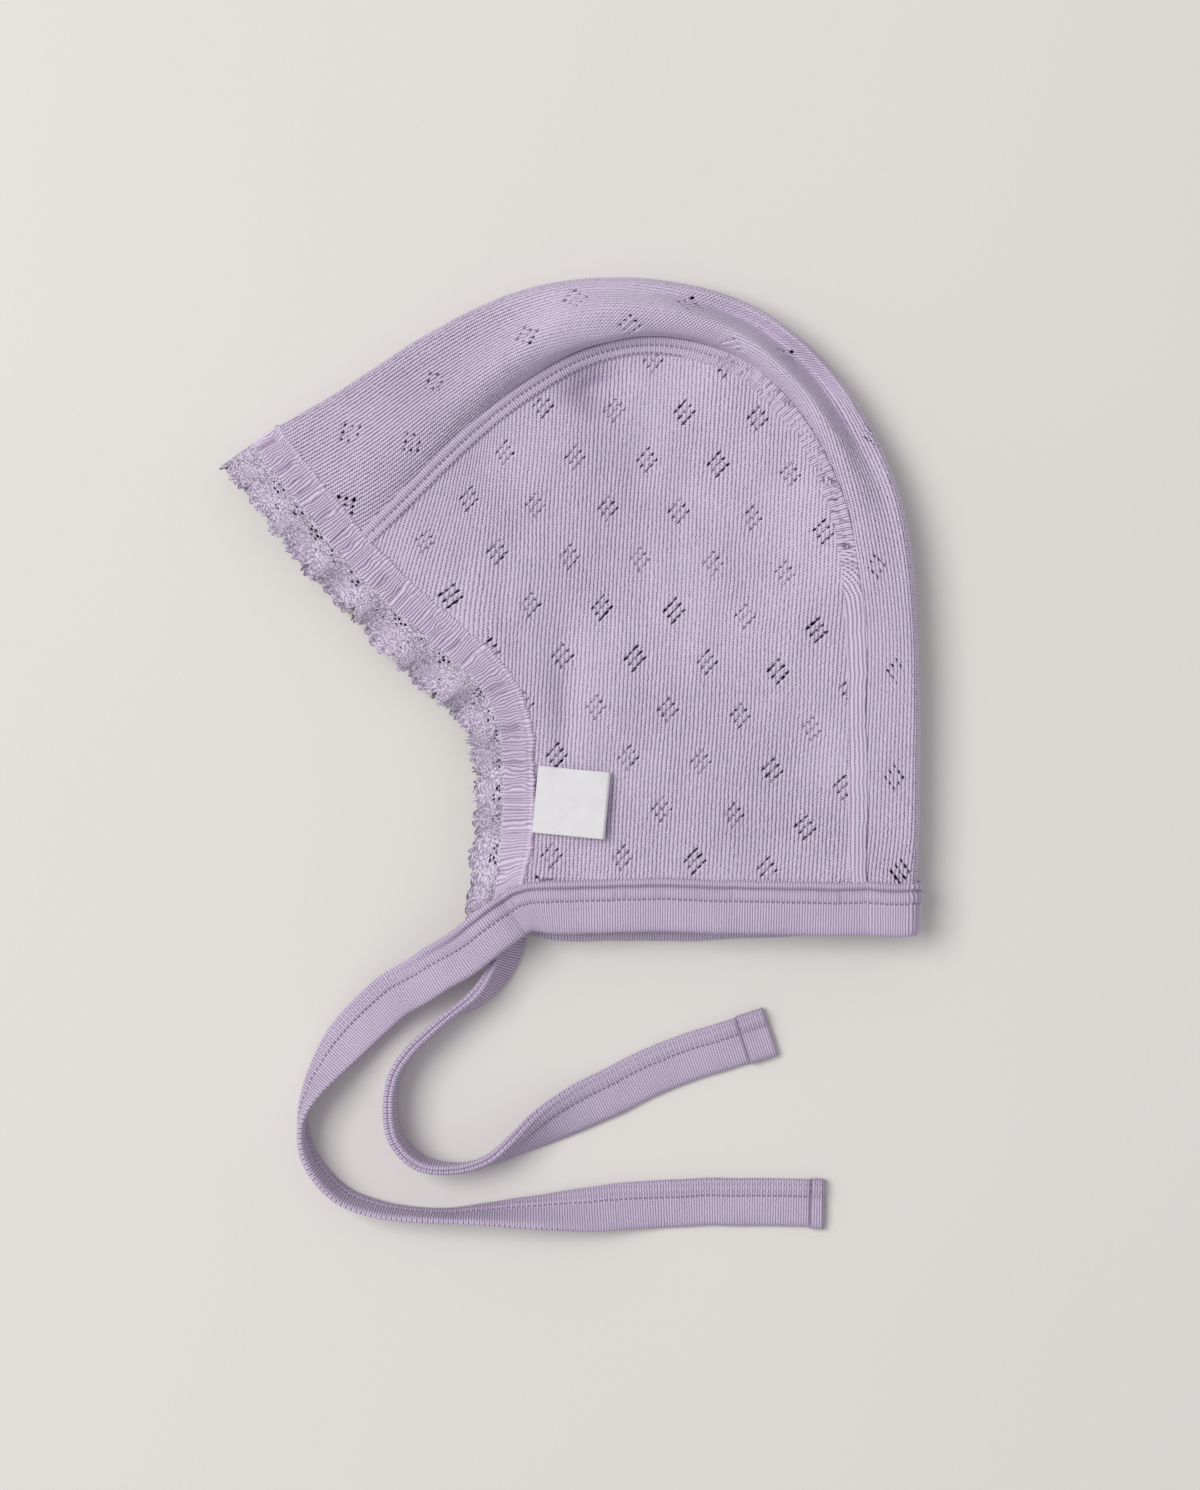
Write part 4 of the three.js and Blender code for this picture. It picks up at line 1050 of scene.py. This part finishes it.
lace_light, lace_dark = (229, 214, 238), (100, 80, 112)
heading_yarn = ribbed_material("lace_heading_yarn", lace_light, lace_dark, 0.95)
along, edge, out, up, spread = face_edging(0.16)
total = along[-1]
share = np.linspace(0, 1, 24) ** 0.9
from_edge = -1.5 + share * (HEADING + 1.6)
pleat = along / PLEAT + 0.5 * wander(along / 3, 11) + 0.2 * wander(along / 0.9, 12)
pleat = pleat[:, None] + 0.42 * mottle(along[:, None] / 2.1 + 50, from_edge[None] / 1.9 + 50, 18)
at_neck = np.clip(1 - np.minimum(along, total - along) / 30, 0, 1)[:, None] ** 0.7
deep = np.clip(wander(along / 0.8, 13), 0.2, 1) - 0.2
cord = np.exp(-((from_edge + 0.65) / 0.55) ** 2)
stitched = np.exp(-((from_edge - 0.35) / 0.3) ** 2)
body = smooth(from_edge, 0.5, 2.0) * (1 - 0.5 * smooth(from_edge, 4.5, HEADING))
gather = 0.24 * np.cos(2 * np.pi * pleat) * (0.35 + 0.65 * body) * (1 - 0.5 * at_neck)
rolling = 0.3 * wander(along / 7, 14)[:, None] * smooth(from_edge, 0.5, HEADING)
height = 0.86 + 0.5 * cord - 0.35 * stitched - 0.15 * body + gather + rolling
height = height - 0.45 * deep[:, None] * body
height[:, 0] -= 0.55
uneven = 0.3 * wander(along / 0.9, 16) + 0.25 * wander(along / 4, 17)
from_edge = from_edge[None] + uneven[:, None] * (1 - smooth(share, 0, 0.35))[None]
sway = 0.25 * wander(along / 2.3, 15)[:, None] * smooth(share, 0.3, 1)
aside = unit(np.gradient(edge, axis=0))
places = edge[:, None] + out[:, None] * from_edge[..., None] + up[:, None] * height[..., None]
places = places + aside[:, None] * sway[..., None]
places[..., 2] = np.maximum(places[..., 2], 0.05)
# Painted shade in the line of stitches and in the deep pleats; towards the neck ends it fades, and there
# the z below 0 pales the heading with painted light.
shade = 0.45 * stitched * (0.6 + 0.4 * np.cos(2 * np.pi * along / 1.5))[:, None]
shade = shade + 0.55 * deep[:, None] * body
shade = shade * (1 - 0.6 * at_neck) - 0.28 * at_neck
yarn = np.stack([pleat, from_edge, shade], -1)
up_normals = np.broadcast_to(up[:, None], places.shape)
places, yarn, up_normals = places[:, ::-1], yarn[:, ::-1], up_normals[:, ::-1]
lace_heading = skin("lace_heading_cloth", places, yarn, heading_yarn, None, 1.2, up_normals)
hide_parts("lace_heading")

# Lace ruffle
# The free part of the lace: net of fine loops gathered into waves, with groups of larger holes by
# the heading, a denser leaf in every scallop, and a rim of small loops.
RUFFLE = 10.2
SCALLOPS = 39
SCALLOP_DEEP = 1.9
LOOP_DEEP = 1.0
LOOPS = 4
WAVES = 17
WAVE_HIGH = 2.5
DROOP = 1.8
# The larger holes of a scallop: how far along from its middle, as a share of it, and how far from
# the heading.
FLOWER_HOLES = [(-0.24, 0.9), (-0.12, 1.4), (0.0, 0.9), (0.11, 1.5)]
FLOWER_HOLES += [(-0.17, 2.2), (-0.03, 2.3), (0.2, 0.9)]


def cells(tree, where, scale, feature):
    """The distance to the points (F1) or the edges of a Voronoi texture's cells."""
    inputs = {"Vector": where, "Scale": scale, "Randomness": 1.0}
    return add_node(tree, "ShaderNodeTexVoronoi", inputs, feature=feature).outputs["Distance"]


def lace_material():
    """Net of tiny knotted loops: worm-like threads with painted shade in the gaps between them, denser
    where z is high, and painted shade in the rim loops where z is below 0.
    """
    material, tree, shader, place = new_material("lace_net", 0.9, 0.15)
    yarn = yarn_pattern(tree)
    dense = parts_of(tree, yarn)["Z"]
    loops = cells(tree, yarn, 1.05, "DISTANCE_TO_EDGE")
    fine = cells(tree, yarn, 3.4, "F1")
    crinkle = noise(tree, yarn, 1.25, 1.5)
    bend = maths(tree, "ABSOLUTE", maths(tree, "SUBTRACT", crinkle, 0.5))
    # Painted shade in the net's openings and in thin crinkled lines between its threads.
    line = ramp(tree, bend, 0.055, 0.0)
    gaps = ramp(tree, loops, 0.2, 0.42)
    gaps = maths(tree, "MAXIMUM", maths(tree, "MULTIPLY", gaps, 0.8), line)
    speck = ramp(tree, fine, 0.25, 0.75)
    share = maths(tree, "MULTIPLY_ADD", gaps, 0.66, maths(tree, "MULTIPLY_ADD", speck, 0.3, -0.05))
    filled = maths(tree, "MAXIMUM", dense, 0.0)
    share = mixed(tree, filled, share, maths(tree, "MULTIPLY_ADD", speck, 0.2, 0.3))
    share = maths(tree, "MAXIMUM", share, maths(tree, "MULTIPLY", dense, -0.8))
    colour = blend(tree, share, linear(235, 222, 244), linear(116, 95, 128))
    tree.links.new(colour, shader.inputs["Base Color"])
    add_relief(tree, shader, maths(tree, "MULTIPLY", share, -1.0), 0.0003, 1.0)
    return material


lace_net = lace_material()
along, edge, out, up, spread = face_edging(0.235)
way = along / along[-1]
rows_across = 38
share = np.linspace(0, 1, rows_across + 1)
scallop_turn = way * SCALLOPS + 0.12 * wander(way * SCALLOPS / 2, 21)
lobe = np.abs(np.sin(np.pi * scallop_turn))
loops = np.abs(np.sin(np.pi * LOOPS * scallop_turn))
rim_reach = SCALLOP_DEEP * lobe ** 0.8 + LOOP_DEEP * loops
swell = wander(way * 24, 22)
free = (RUFFLE - SCALLOP_DEEP - LOOP_DEEP) * spread * (1 + 0.13 * swell)
from_edge = HEADING - 0.35 + share[None] * free[:, None] + share[None] ** 3 * rim_reach[:, None]
wave_turn = 2 * np.pi * (WAVES * way + 0.35 * wander(way * WAVES / 1.7, 23))
strength = (0.75 + 0.4 * wander(way * 14, 24)) * (0.25 + 0.75 * smooth(np.abs(way - 0.5), 0.05, 0.16))
grow = smooth(share, 0.0, 0.75)[None]
facing = ((1 + up[:, 2]) / 2)[:, None]
wave = np.sin(wave_turn)[:, None] + 0.25 * np.sin(2 * wave_turn + 1)[:, None]
wave = WAVE_HIGH * strength[:, None] * wave
lying = (1 - facing) * 1.15 * grow * (WAVE_HIGH + 0.35)
sideways = 2.0 * strength[:, None] * np.cos(wave_turn)[:, None] * grow
curl = -0.5 * smooth(share, 0.7, 1.0)[None] * np.cos(wave_turn / 2 + 1)[:, None]
aside = unit(np.gradient(edge, axis=0))
lift = 0.5 + 0.25 * (1 - share[None])
places = edge[:, None] + out[:, None] * from_edge[..., None] + up[:, None] * lift[..., None]
places = places + aside[:, None] * sideways[..., None]
places[..., 2] += wave * grow + lying - DROOP * share[None] ** 2 * facing + curl * facing
leaf = np.exp(-(((scallop_turn % 1) - 0.5) / 0.2)[:, None] ** 2 - ((share[None] - 0.62) / 0.17) ** 2)
knots = 0.1 * np.sin(2 * np.pi * along / 0.8)[:, None] * np.sin(2 * np.pi * share * 9)[None]
places[..., 2] += knots * grow
places[..., 2] = np.maximum(places[..., 2], 0.06)
across_mm = from_edge - HEADING
rare = np.random.default_rng(25)
holes = []
for k in range(SCALLOPS):
    for dx, dy in FLOWER_HOLES:
        if rare.uniform() < (0.9 if k % 2 else 0.3):
            size = rare.uniform(0.75, 1.1)
            holes.append(((k + 0.5 + dx + rare.uniform(-0.03, 0.03)) / SCALLOPS * along[-1], dy, size))
    for dx in (-0.45, -0.38, 0.36, 0.44):
        if rare.uniform() < 0.35:
            holes.append(((k + 0.5 + dx) / SCALLOPS * along[-1], rare.uniform(2.5, 6.0), 0.7))
along_grid = np.broadcast_to(along[None], (rows_across + 1, len(along)))
lace_places = np.ascontiguousarray(places.transpose(1, 0, 2))
kept = pierce(lace_places, along_grid, across_mm.T, holes, 0.34, 0.3, 0.0)
ring_turn = (LOOPS * scallop_turn) % 1
# The rim's small loops get painted shade in their openings: the pattern's z goes below 0 there.
rings = np.exp(-(((ring_turn - 0.5) / 0.2) ** 2)[:, None] - (((share - 0.9) / 0.04) ** 2)[None])
leaf = leaf * (0.5 + 0.5 * wander(np.floor(way * SCALLOPS) + 0.5, 27))[:, None]
leaf = leaf - 1.3 * rings
yarn = np.stack([np.broadcast_to(along[:, None], leaf.shape), across_mm, leaf], -1).transpose(1, 0, 2)
up_normals = np.broadcast_to(up[None], lace_places.shape)
lace_ruffle = skin("lace_ruffle_cloth", lace_places, yarn, lace_net, kept, 0.3, up_normals)
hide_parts("lace_ruffle")

# Neck binding
# Ribbed tape folded over the neck edge and round the nape: a rolled top edge, a groove, a band held
# by a line of cover stitches, and below it the plain ribbed part down to the fold. It is one strip of
# tape, open along its two sewn edges.
TAPE_RIB = 0.61
BINDING_WIDE = 12.7
# The tape's front, from its inner edge round the rolled edge and down its face: how far down, how
# far out from the middle of the tape's thickness, and how finely it is drawn there.
BINDING_FACE = [
    (4.4, 0.7, 0.3),
    (1.6, 0.66, 0.3),
    (0.35, 0.7, 1.5),
    (-0.05, 1.1, 2.5),
    (0.2, 1.85, 2.5),
    (0.85, 2.4, 2.5),
    (1.45, 1.95, 2.5),
    (1.85, 1.2, 2.5),
    (2.3, 1.6, 2.5),
    (3.3, 1.95, 2),
    (4.3, 1.85, 2),
    (4.9, 1.3, 2.5),
    (5.5, 1.5, 2),
    (7.0, 1.45, 1),
    (9.0, 1.35, 0.8),
    (11.0, 1.25, 0.8),
    (12.2, 0.95, 1),
]
TIE_FACE = [
    (4.0, 0.06, 0.3),
    (1.6, 0.05, 0.3),
    (0.15, 0.04, 1.5),
    (0.0, 0.22, 2.5),
    (0.06, 0.75, 2.5),
    (0.6, 1.12, 2.5),
    (1.4, 1.15, 2.5),
    (2.0, 1.2, 2.5),
    (2.6, 1.22, 2.5),
    (3.2, 1.22, 2),
    (3.7, 1.12, 2),
    (4.0, 0.72, 2.5),
    (4.6, 0.74, 2),
    (7.0, 0.85, 1),
    (8.5, 0.85, 0.8),
    (10.0, 0.8, 0.8),
    (11.0, 0.6, 1),
]


def tape_section(face_points, wide, cells):
    """The tape's open section: out over its face, round the fold at its far edge and back over its
    other face, as (down, out) places."""
    points = np.array(face_points)
    scale = (wide - 5) / (points[-1, 0] + 0.4 - 5)
    points[:, 0] = np.where(points[:, 0] > 5, 5 + (points[:, 0] - 5) * scale, points[:, 0])
    loop = np.concatenate([points, [[wide, 0, 1]], points[::-1] * [1, -1, 0.6]])
    line = curve_through(loop[None], 12)[0]
    steps = np.linalg.norm(np.diff(line[:, :2], axis=0), axis=1) * line[1:, 2]
    passed = np.concatenate([[0], np.cumsum(steps)])
    wanted = np.linspace(0, passed[-1], cells + 1)
    return np.stack([np.interp(wanted, passed, line[:, k]) for k in (0, 1)], -1)


def smooth_frames(line, normal):
    """The run along a line, and the way across the tape that is square to both it and the normal."""
    run = unit(np.gradient(line, axis=0))
    down = unit(np.cross(run, normal))
    return run, down, unit(np.cross(down, run))


# The tape's line of cover stitches, at 4.9 mm, is drawn as painted shade.
tape_yarn = ribbed_material("ribbed_tape", (217, 202, 228), (92, 72, 104), 1.08, 4.9)

share = np.linspace(0, 1, 700)
upper_leg = neck_line(share, True) - [0, 0, CLOTH / 2]
nape_points, nape_normals, _ = on_sections(np.array([1.0]), 160, 90)
nape_line = nape_points[0] - nape_normals[0] * CLOTH / 2
nape_line[:, 1] = upper_leg[-1, 1]
UNDER_CORNER = way_to(neck_back, 0.622)
lower_leg = neck_line(UNDER_CORNER + (1 - UNDER_CORNER) * share[::-1], False) + [0, 0, CLOTH / 2]
line = np.concatenate([upper_leg, nape_line[4:-4], lower_leg])
flat_up = np.array([[0, 0, 1.0]]).repeat(len(share), 0)
normal = np.concatenate([flat_up, nape_normals[0, 4:-4], -flat_up])
along, line, normal = evenly(line, 0.16, normal)
line, normal = soften(line, 9), unit(soften(normal, 14))
run, down, normal = smooth_frames(line, normal)
down = unit(soften(down, 55))
length = along[-1]
CELLS = 46
upper_share = smooth(normal[:, 2], -0.9, -0.2)
middle_share = smooth(along, 0, 16) * smooth(length - along, 0, 14)
wide_section = tape_section(BINDING_FACE, BINDING_WIDE, CELLS)
slim_section = tape_section(BINDING_FACE, TAPE_WIDTH, CELLS)
to_wide = (upper_share * middle_share)[:, None, None]
section = slim_section * (1 - to_wide) + wide_section * to_wide
rib = along / TAPE_RIB + 0.3 * wander(along / 5.1, 31)
out = section[..., 1].copy()
face_side = np.sign(out)
x = section[..., 0]
ribbed = smooth(np.abs(out), 0.3, 0.9)
relief = 0.085 * np.cos(2 * np.pi * rib)[:, None] * ribbed
pleats = (np.clip(wander(along / 1.3, 33), 0.4, 1) - 0.4)[:, None] * np.exp(-(((x - 3.6) / 1.3) ** 2))
uneven = 0.16 * wander(along / 9, 34)[:, None] * smooth(x, 0, 3)
out = out + face_side * (relief - 0.5 * pleats + uneven)
x = x + 0.2 * wander(along / 8, 35)[:, None] + 0.1 * wander(along / 2.6, 36)[:, None]
places = line[:, None] + down[:, None] * x[..., None] + normal[:, None] * out[..., None]
places[..., 2] = np.maximum(places[..., 2], 0.05)
# Painted shade in the groove under the rolled edge and in the pleats.
groove = np.exp(-(((section[..., 0] - 1.85) / 0.3) ** 2)) * ribbed
shade = np.clip(0.5 * pleats + 0.55 * groove, 0, 1)
yarn = np.stack([np.broadcast_to(rib[:, None], x.shape), section[..., 0], shade], -1)
neck_binding = skin("neck_binding_cloth", places[:, ::-1], yarn[:, ::-1], tape_yarn)
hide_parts("neck_binding")
# What each tie goes on from: the neck corner, the ways down and on from it, and the tape's end there.
left_corner = (line[0], down[0], -run[0], places[0], rib[0])
right_corner = (line[-1], down[-1], run[-1], places[-1, ::-1], rib[-1])

# Ties
# The same tape running on from both neck corners, sewn shut along its seam edge. Each tie stands on
# its edge where it turns round and then lies flat again on its other face, up to its turned end.
TIE_REACH = 72.0
TAPE_THICK = 2.2
TIE_COLUMNS = ("ahead", "down", "lean", "lifted")
LEFT_TIE_ROWS = [
    (0, 0, 0, 1),
    (0.04, 0.025, 3, 1.14),
    (0.095, 0.065, 5, 1.18),
    (0.17, 0.125, 6, 1.1),
    (0.25, 0.175, 7, 0.95),
    (0.33, 0.225, 8, 0.75),
    (0.4, 0.27, 9, 0.55),
    (0.48, 0.34, 14, 0.3),
    (0.55, 0.415, 26, 0.12),
    (0.615, 0.5, 50, 0),
    (0.67, 0.59, 72, 0),
    (0.7, 0.68, 87, 0),
    (0.69, 0.775, 95, 0),
    (0.645, 0.86, 99, 0),
    (0.565, 0.935, 100, 0),
    (0.46, 0.975, 98, 0),
    (0.34, 0.995, 94, 0),
    (0.225, 1, 95, 0),
    (0.11, 0.995, 103, 0),
    (-0.025, 0.99, 117, 0),
    (-0.155, 0.985, 132, 0),
    (-0.32, 0.975, 160, 0),
    (-0.505, 0.965, 180, 0),
    (-0.74, 0.96, 180, 0),
    (-1.035, 0.965, 180, 0),
]
RIGHT_TIE_ROWS = [
    (0, 0, 0, 1),
    (0.015, 0.005, -30, 0.6),
    (0.022, 0.03, -52, 0.2),
    (0.024, 0.075, -57, 0),
    (0.032, 0.125, -58, 0),
    (0.053, 0.185, -61, 0),
    (0.09, 0.25, -66, 0),
    (0.145, 0.305, -74, 0),
    (0.262, 0.385, -84, 0),
    (0.355, 0.47, -85, 0),
    (0.41, 0.555, -85, 0),
    (0.425, 0.66, -84, 0),
    (0.405, 0.765, -83, 0),
    (0.33, 0.84, -84, 0),
    (0.22, 0.86, -90, 0),
    (0.105, 0.84, -100, 0),
    (0.005, 0.785, -118, 0),
    (-0.105, 0.715, -146, 0),
    (-0.285, 0.625, -176, 0),
    (-0.5, 0.525, -180, 0),
    (-0.835, 0.412, -180, 0),
]


def tie(name, corner, rows, settled, hem, seed):
    """A tie: the tape's section carried along its route, flat from settled on, with its folded hem."""
    at, corner_down, forward, ring, first_rib = corner
    table = dict(zip(TIE_COLUMNS, np.array(rows, float).T))
    start = at + corner_down * TAPE_WIDTH / 2
    way = np.linspace(0, 1, 3000)
    route_x = start[0] - through(table["ahead"], way) * TIE_REACH
    route_y = start[1] - through(table["down"], way) * TIE_REACH
    route = np.stack([route_x, route_y, 0 * way], -1)
    lean = np.radians(through(table["lean"], way))
    lifted = np.maximum(0, through(table["lifted"], way))
    along, route, lean, lifted = evenly(route, 0.17, lean, lifted)
    route, lean = soften(route, 6), soften(lean, 12)
    run = unit(np.gradient(route, axis=0))
    first = smooth(along, 0, 6)[:, None]
    run = unit(forward * (1 - first) + run * first)
    to_end = along[-1] - along
    half = TAPE_WIDTH / 2
    folded = smooth(hem + 0.3 - to_end, 0, 0.6)
    lying = half * np.abs(np.sin(lean)) + TAPE_THICK / 2 * (1 + 0.55 * folded) * np.abs(np.cos(lean))
    middle = route.copy()
    middle[:, 2] = lying * (1 - lifted) + np.maximum(lying, start[2]) * lifted
    right = np.stack([run[:, 1], -run[:, 0], 0 * along], -1)
    seam_side = right * np.cos(lean)[:, None]
    seam_side[:, 2] -= np.sin(lean)
    facing = unit(np.cross(seam_side, run))
    to_tie = smooth(along, 2, settled)[:, None, None]
    section = slim_section * (1 - to_tie) + tie_section * to_tie
    x, out = section[..., 0], section[..., 1].copy()
    side = np.sign(out)
    rib = first_rib + along / TAPE_RIB + 0.3 * (wander(along / 5.1, seed) - wander(np.zeros(1), seed))
    shown = smooth(np.abs(out), 0.2, 0.75)
    relief = 0.1 * np.cos(2 * np.pi * rib)[:, None]
    chain = 0.12 * np.cos(np.pi * rib)[:, None] * np.cos(2 * np.pi * x / 1.3) * smooth(3.8 - x, 0, 0.6)
    uneven = 0.12 * wander(along / 8, seed + 2)[:, None]
    out = out + side * (relief + chain * to_tie[..., 0] + uneven) * shown
    # The hem is folded over: half as thick again, with a soft step, a row of stitches shown by painted
    # shade along the step, and a round end.
    hem_edge = np.exp(-(((to_end - hem) / 0.3) ** 2))[:, None] * shown
    end_round = 1 - 0.8 * smooth(1.2 - to_end, 0, 1.2)[:, None] ** 2
    out = out * (1 + 0.75 * folded[:, None]) - side * 0.35 * hem_edge
    out = out * end_round
    flare = 1 + 0.06 * folded[:, None]
    away = (half - x) * flare + 0.14 * wander(along / 7, seed + 3)[:, None]
    saw = smooth(0.5 - x, 0, 0.5) * 0.12 * np.cos(2 * np.pi * rib)[:, None]
    saw = saw - smooth(x - TAPE_WIDTH + 0.7, 0, 0.7) * 0.1 * np.cos(2 * np.pi * rib)[:, None]
    places = middle[:, None] + seam_side[:, None] * (away + saw)[..., None]
    places = places + facing[:, None] * out[..., None]
    places = places + (ring - places[0]) * (1 - smooth(along, 0, 9))[:, None, None]
    places[..., 2] = np.maximum(places[..., 2], 0.05)
    # Painted shade: in the groove where the tie leaves the binding, between the chain stitches of its
    # seam band, and along the hem's step.
    shade = 0.55 * np.exp(-(((x - 1.85) / 0.3) ** 2)) * (1 - to_tie[..., 0]) * shown
    ladder = np.clip(np.cos(np.pi * rib), 0, 1)[:, None] * np.clip(np.cos(2 * np.pi * x / 1.3), 0, 1)
    ladder = ladder * smooth(3.6 - x, 0, 0.4) * smooth(x, 0.4, 0.9) * to_tie[..., 0] * shown
    shade = np.clip(shade + 0.55 * ladder + 0.7 * hem_edge, 0, 1)
    stitch_at = x + 0.9 * to_tie[..., 0] * smooth(x, 2, 3.5) + 20 * folded[:, None]
    yarn = np.stack([np.broadcast_to(rib[:, None], x.shape), stitch_at, shade], -1)
    piece = skin(name + "_cloth", places, yarn, tape_yarn)
    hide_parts(name)
    return piece, middle, seam_side, facing, along


tie_section = tape_section(TIE_FACE, TAPE_WIDTH, CELLS)
left_made = tie("tie_left", left_corner, LEFT_TIE_ROWS, 38, 3.6, 41)
right_made = tie("tie_right", right_corner, RIGHT_TIE_ROWS, 14, 7.2, 51)

# Side label
# A bare woven satin label, folded double and sewn in beside the lace heading near the neck. Its
# folded edge stands a little off the knit.
LABEL_WIDE = 17.3
LABEL_HIGH = 15.8
LABEL_LIFT = 2.2
LABEL_TURN = -5.4
LABEL_UP = 0.145
LABEL_THICK = 0.42


def satin_material():
    """White satin tape: fine bright ribs along it, with a soft sheen and woven edges."""
    material, tree, shader, place = new_material("white_satin", 0.55, 0.1)
    yarn = yarn_pattern(tree)
    parts = parts_of(tree, yarn)
    across = maths(tree, "COSINE", maths(tree, "MULTIPLY", parts["X"], 2 * math.pi / 0.32))
    length = maths(tree, "COSINE", maths(tree, "MULTIPLY", parts["Y"], 2 * math.pi / 0.26))
    weave = maths(tree, "MULTIPLY_ADD", across, 0.4, maths(tree, "MULTIPLY", length, 0.6))
    cloud = noise(tree, place, 300.0, 2.0)
    share = maths(tree, "MULTIPLY_ADD", weave, 0.18, maths(tree, "MULTIPLY", cloud, 0.5))
    colour = blend(tree, share, linear(238, 237, 239), linear(206, 204, 210))
    tree.links.new(colour, shader.inputs["Base Color"])
    add_relief(tree, shader, weave, 0.00005, 0.5)
    return material


satin = satin_material()
across_way, along_way = compass(LABEL_TURN), compass(LABEL_TURN + 90)
label_way = way_to(face["up"], LABEL_UP)
sewn = face_line(np.array([label_way]), True)[0] + across_way * 1.2
loop = np.linspace(-1, 1, 121)
run_out = LABEL_WIDE * (1 - np.abs(loop))
run_out = np.minimum(run_out, LABEL_WIDE - 0.02)
rows = np.linspace(-0.5, 0.5, 61)
on_label = run_out[None] / LABEL_WIDE + 0 * rows[:, None]
height_share = np.where(loop > 0, 1.0, -1.0) * np.clip(np.abs(loop) / 0.03, 0, 1)
half_thick = LABEL_THICK * (1 + 0.9 * smooth(on_label, 0.55, 1.0))
x = sewn[0] + across_way[0] * run_out[None] + along_way[0] * rows[:, None] * LABEL_HIGH
y = sewn[1] + across_way[1] * run_out[None] + along_way[1] * rows[:, None] * LABEL_HIGH
u, v = find_on_panel(left_edges, x.ravel(), y.ravel(), True)
under = patch(left_edges, u, v, True)[:, 2].reshape(x.shape)
under_level = soften(under.T, 25).T
bow = 0.7 * np.sin(np.pi * on_label)
bow = bow - 0.3 * (2 * rows[:, None]) ** 2 * on_label - 0.9 * rows[:, None] * on_label**2
z = np.maximum(under, under_level) + 0.75 + LABEL_LIFT * on_label**1.7 * 0.8 + bow
z = z + height_share[None] * half_thick
soft_edge = smooth(np.abs(rows), 0.485, 0.5)[:, None]
z = z - 0.12 * soft_edge * np.sign(height_share)[None]
places = np.stack([x, y, z], -1)
yarn = np.stack([run_out[None] + 0 * x, rows[:, None] * LABEL_HIGH + 0 * x, 0 * x], -1)
side_label = skin("side_label_cloth", places, yarn, satin)
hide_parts("side_label")

size = {"cad": cad_box, "visual": [list(corner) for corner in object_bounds()]}
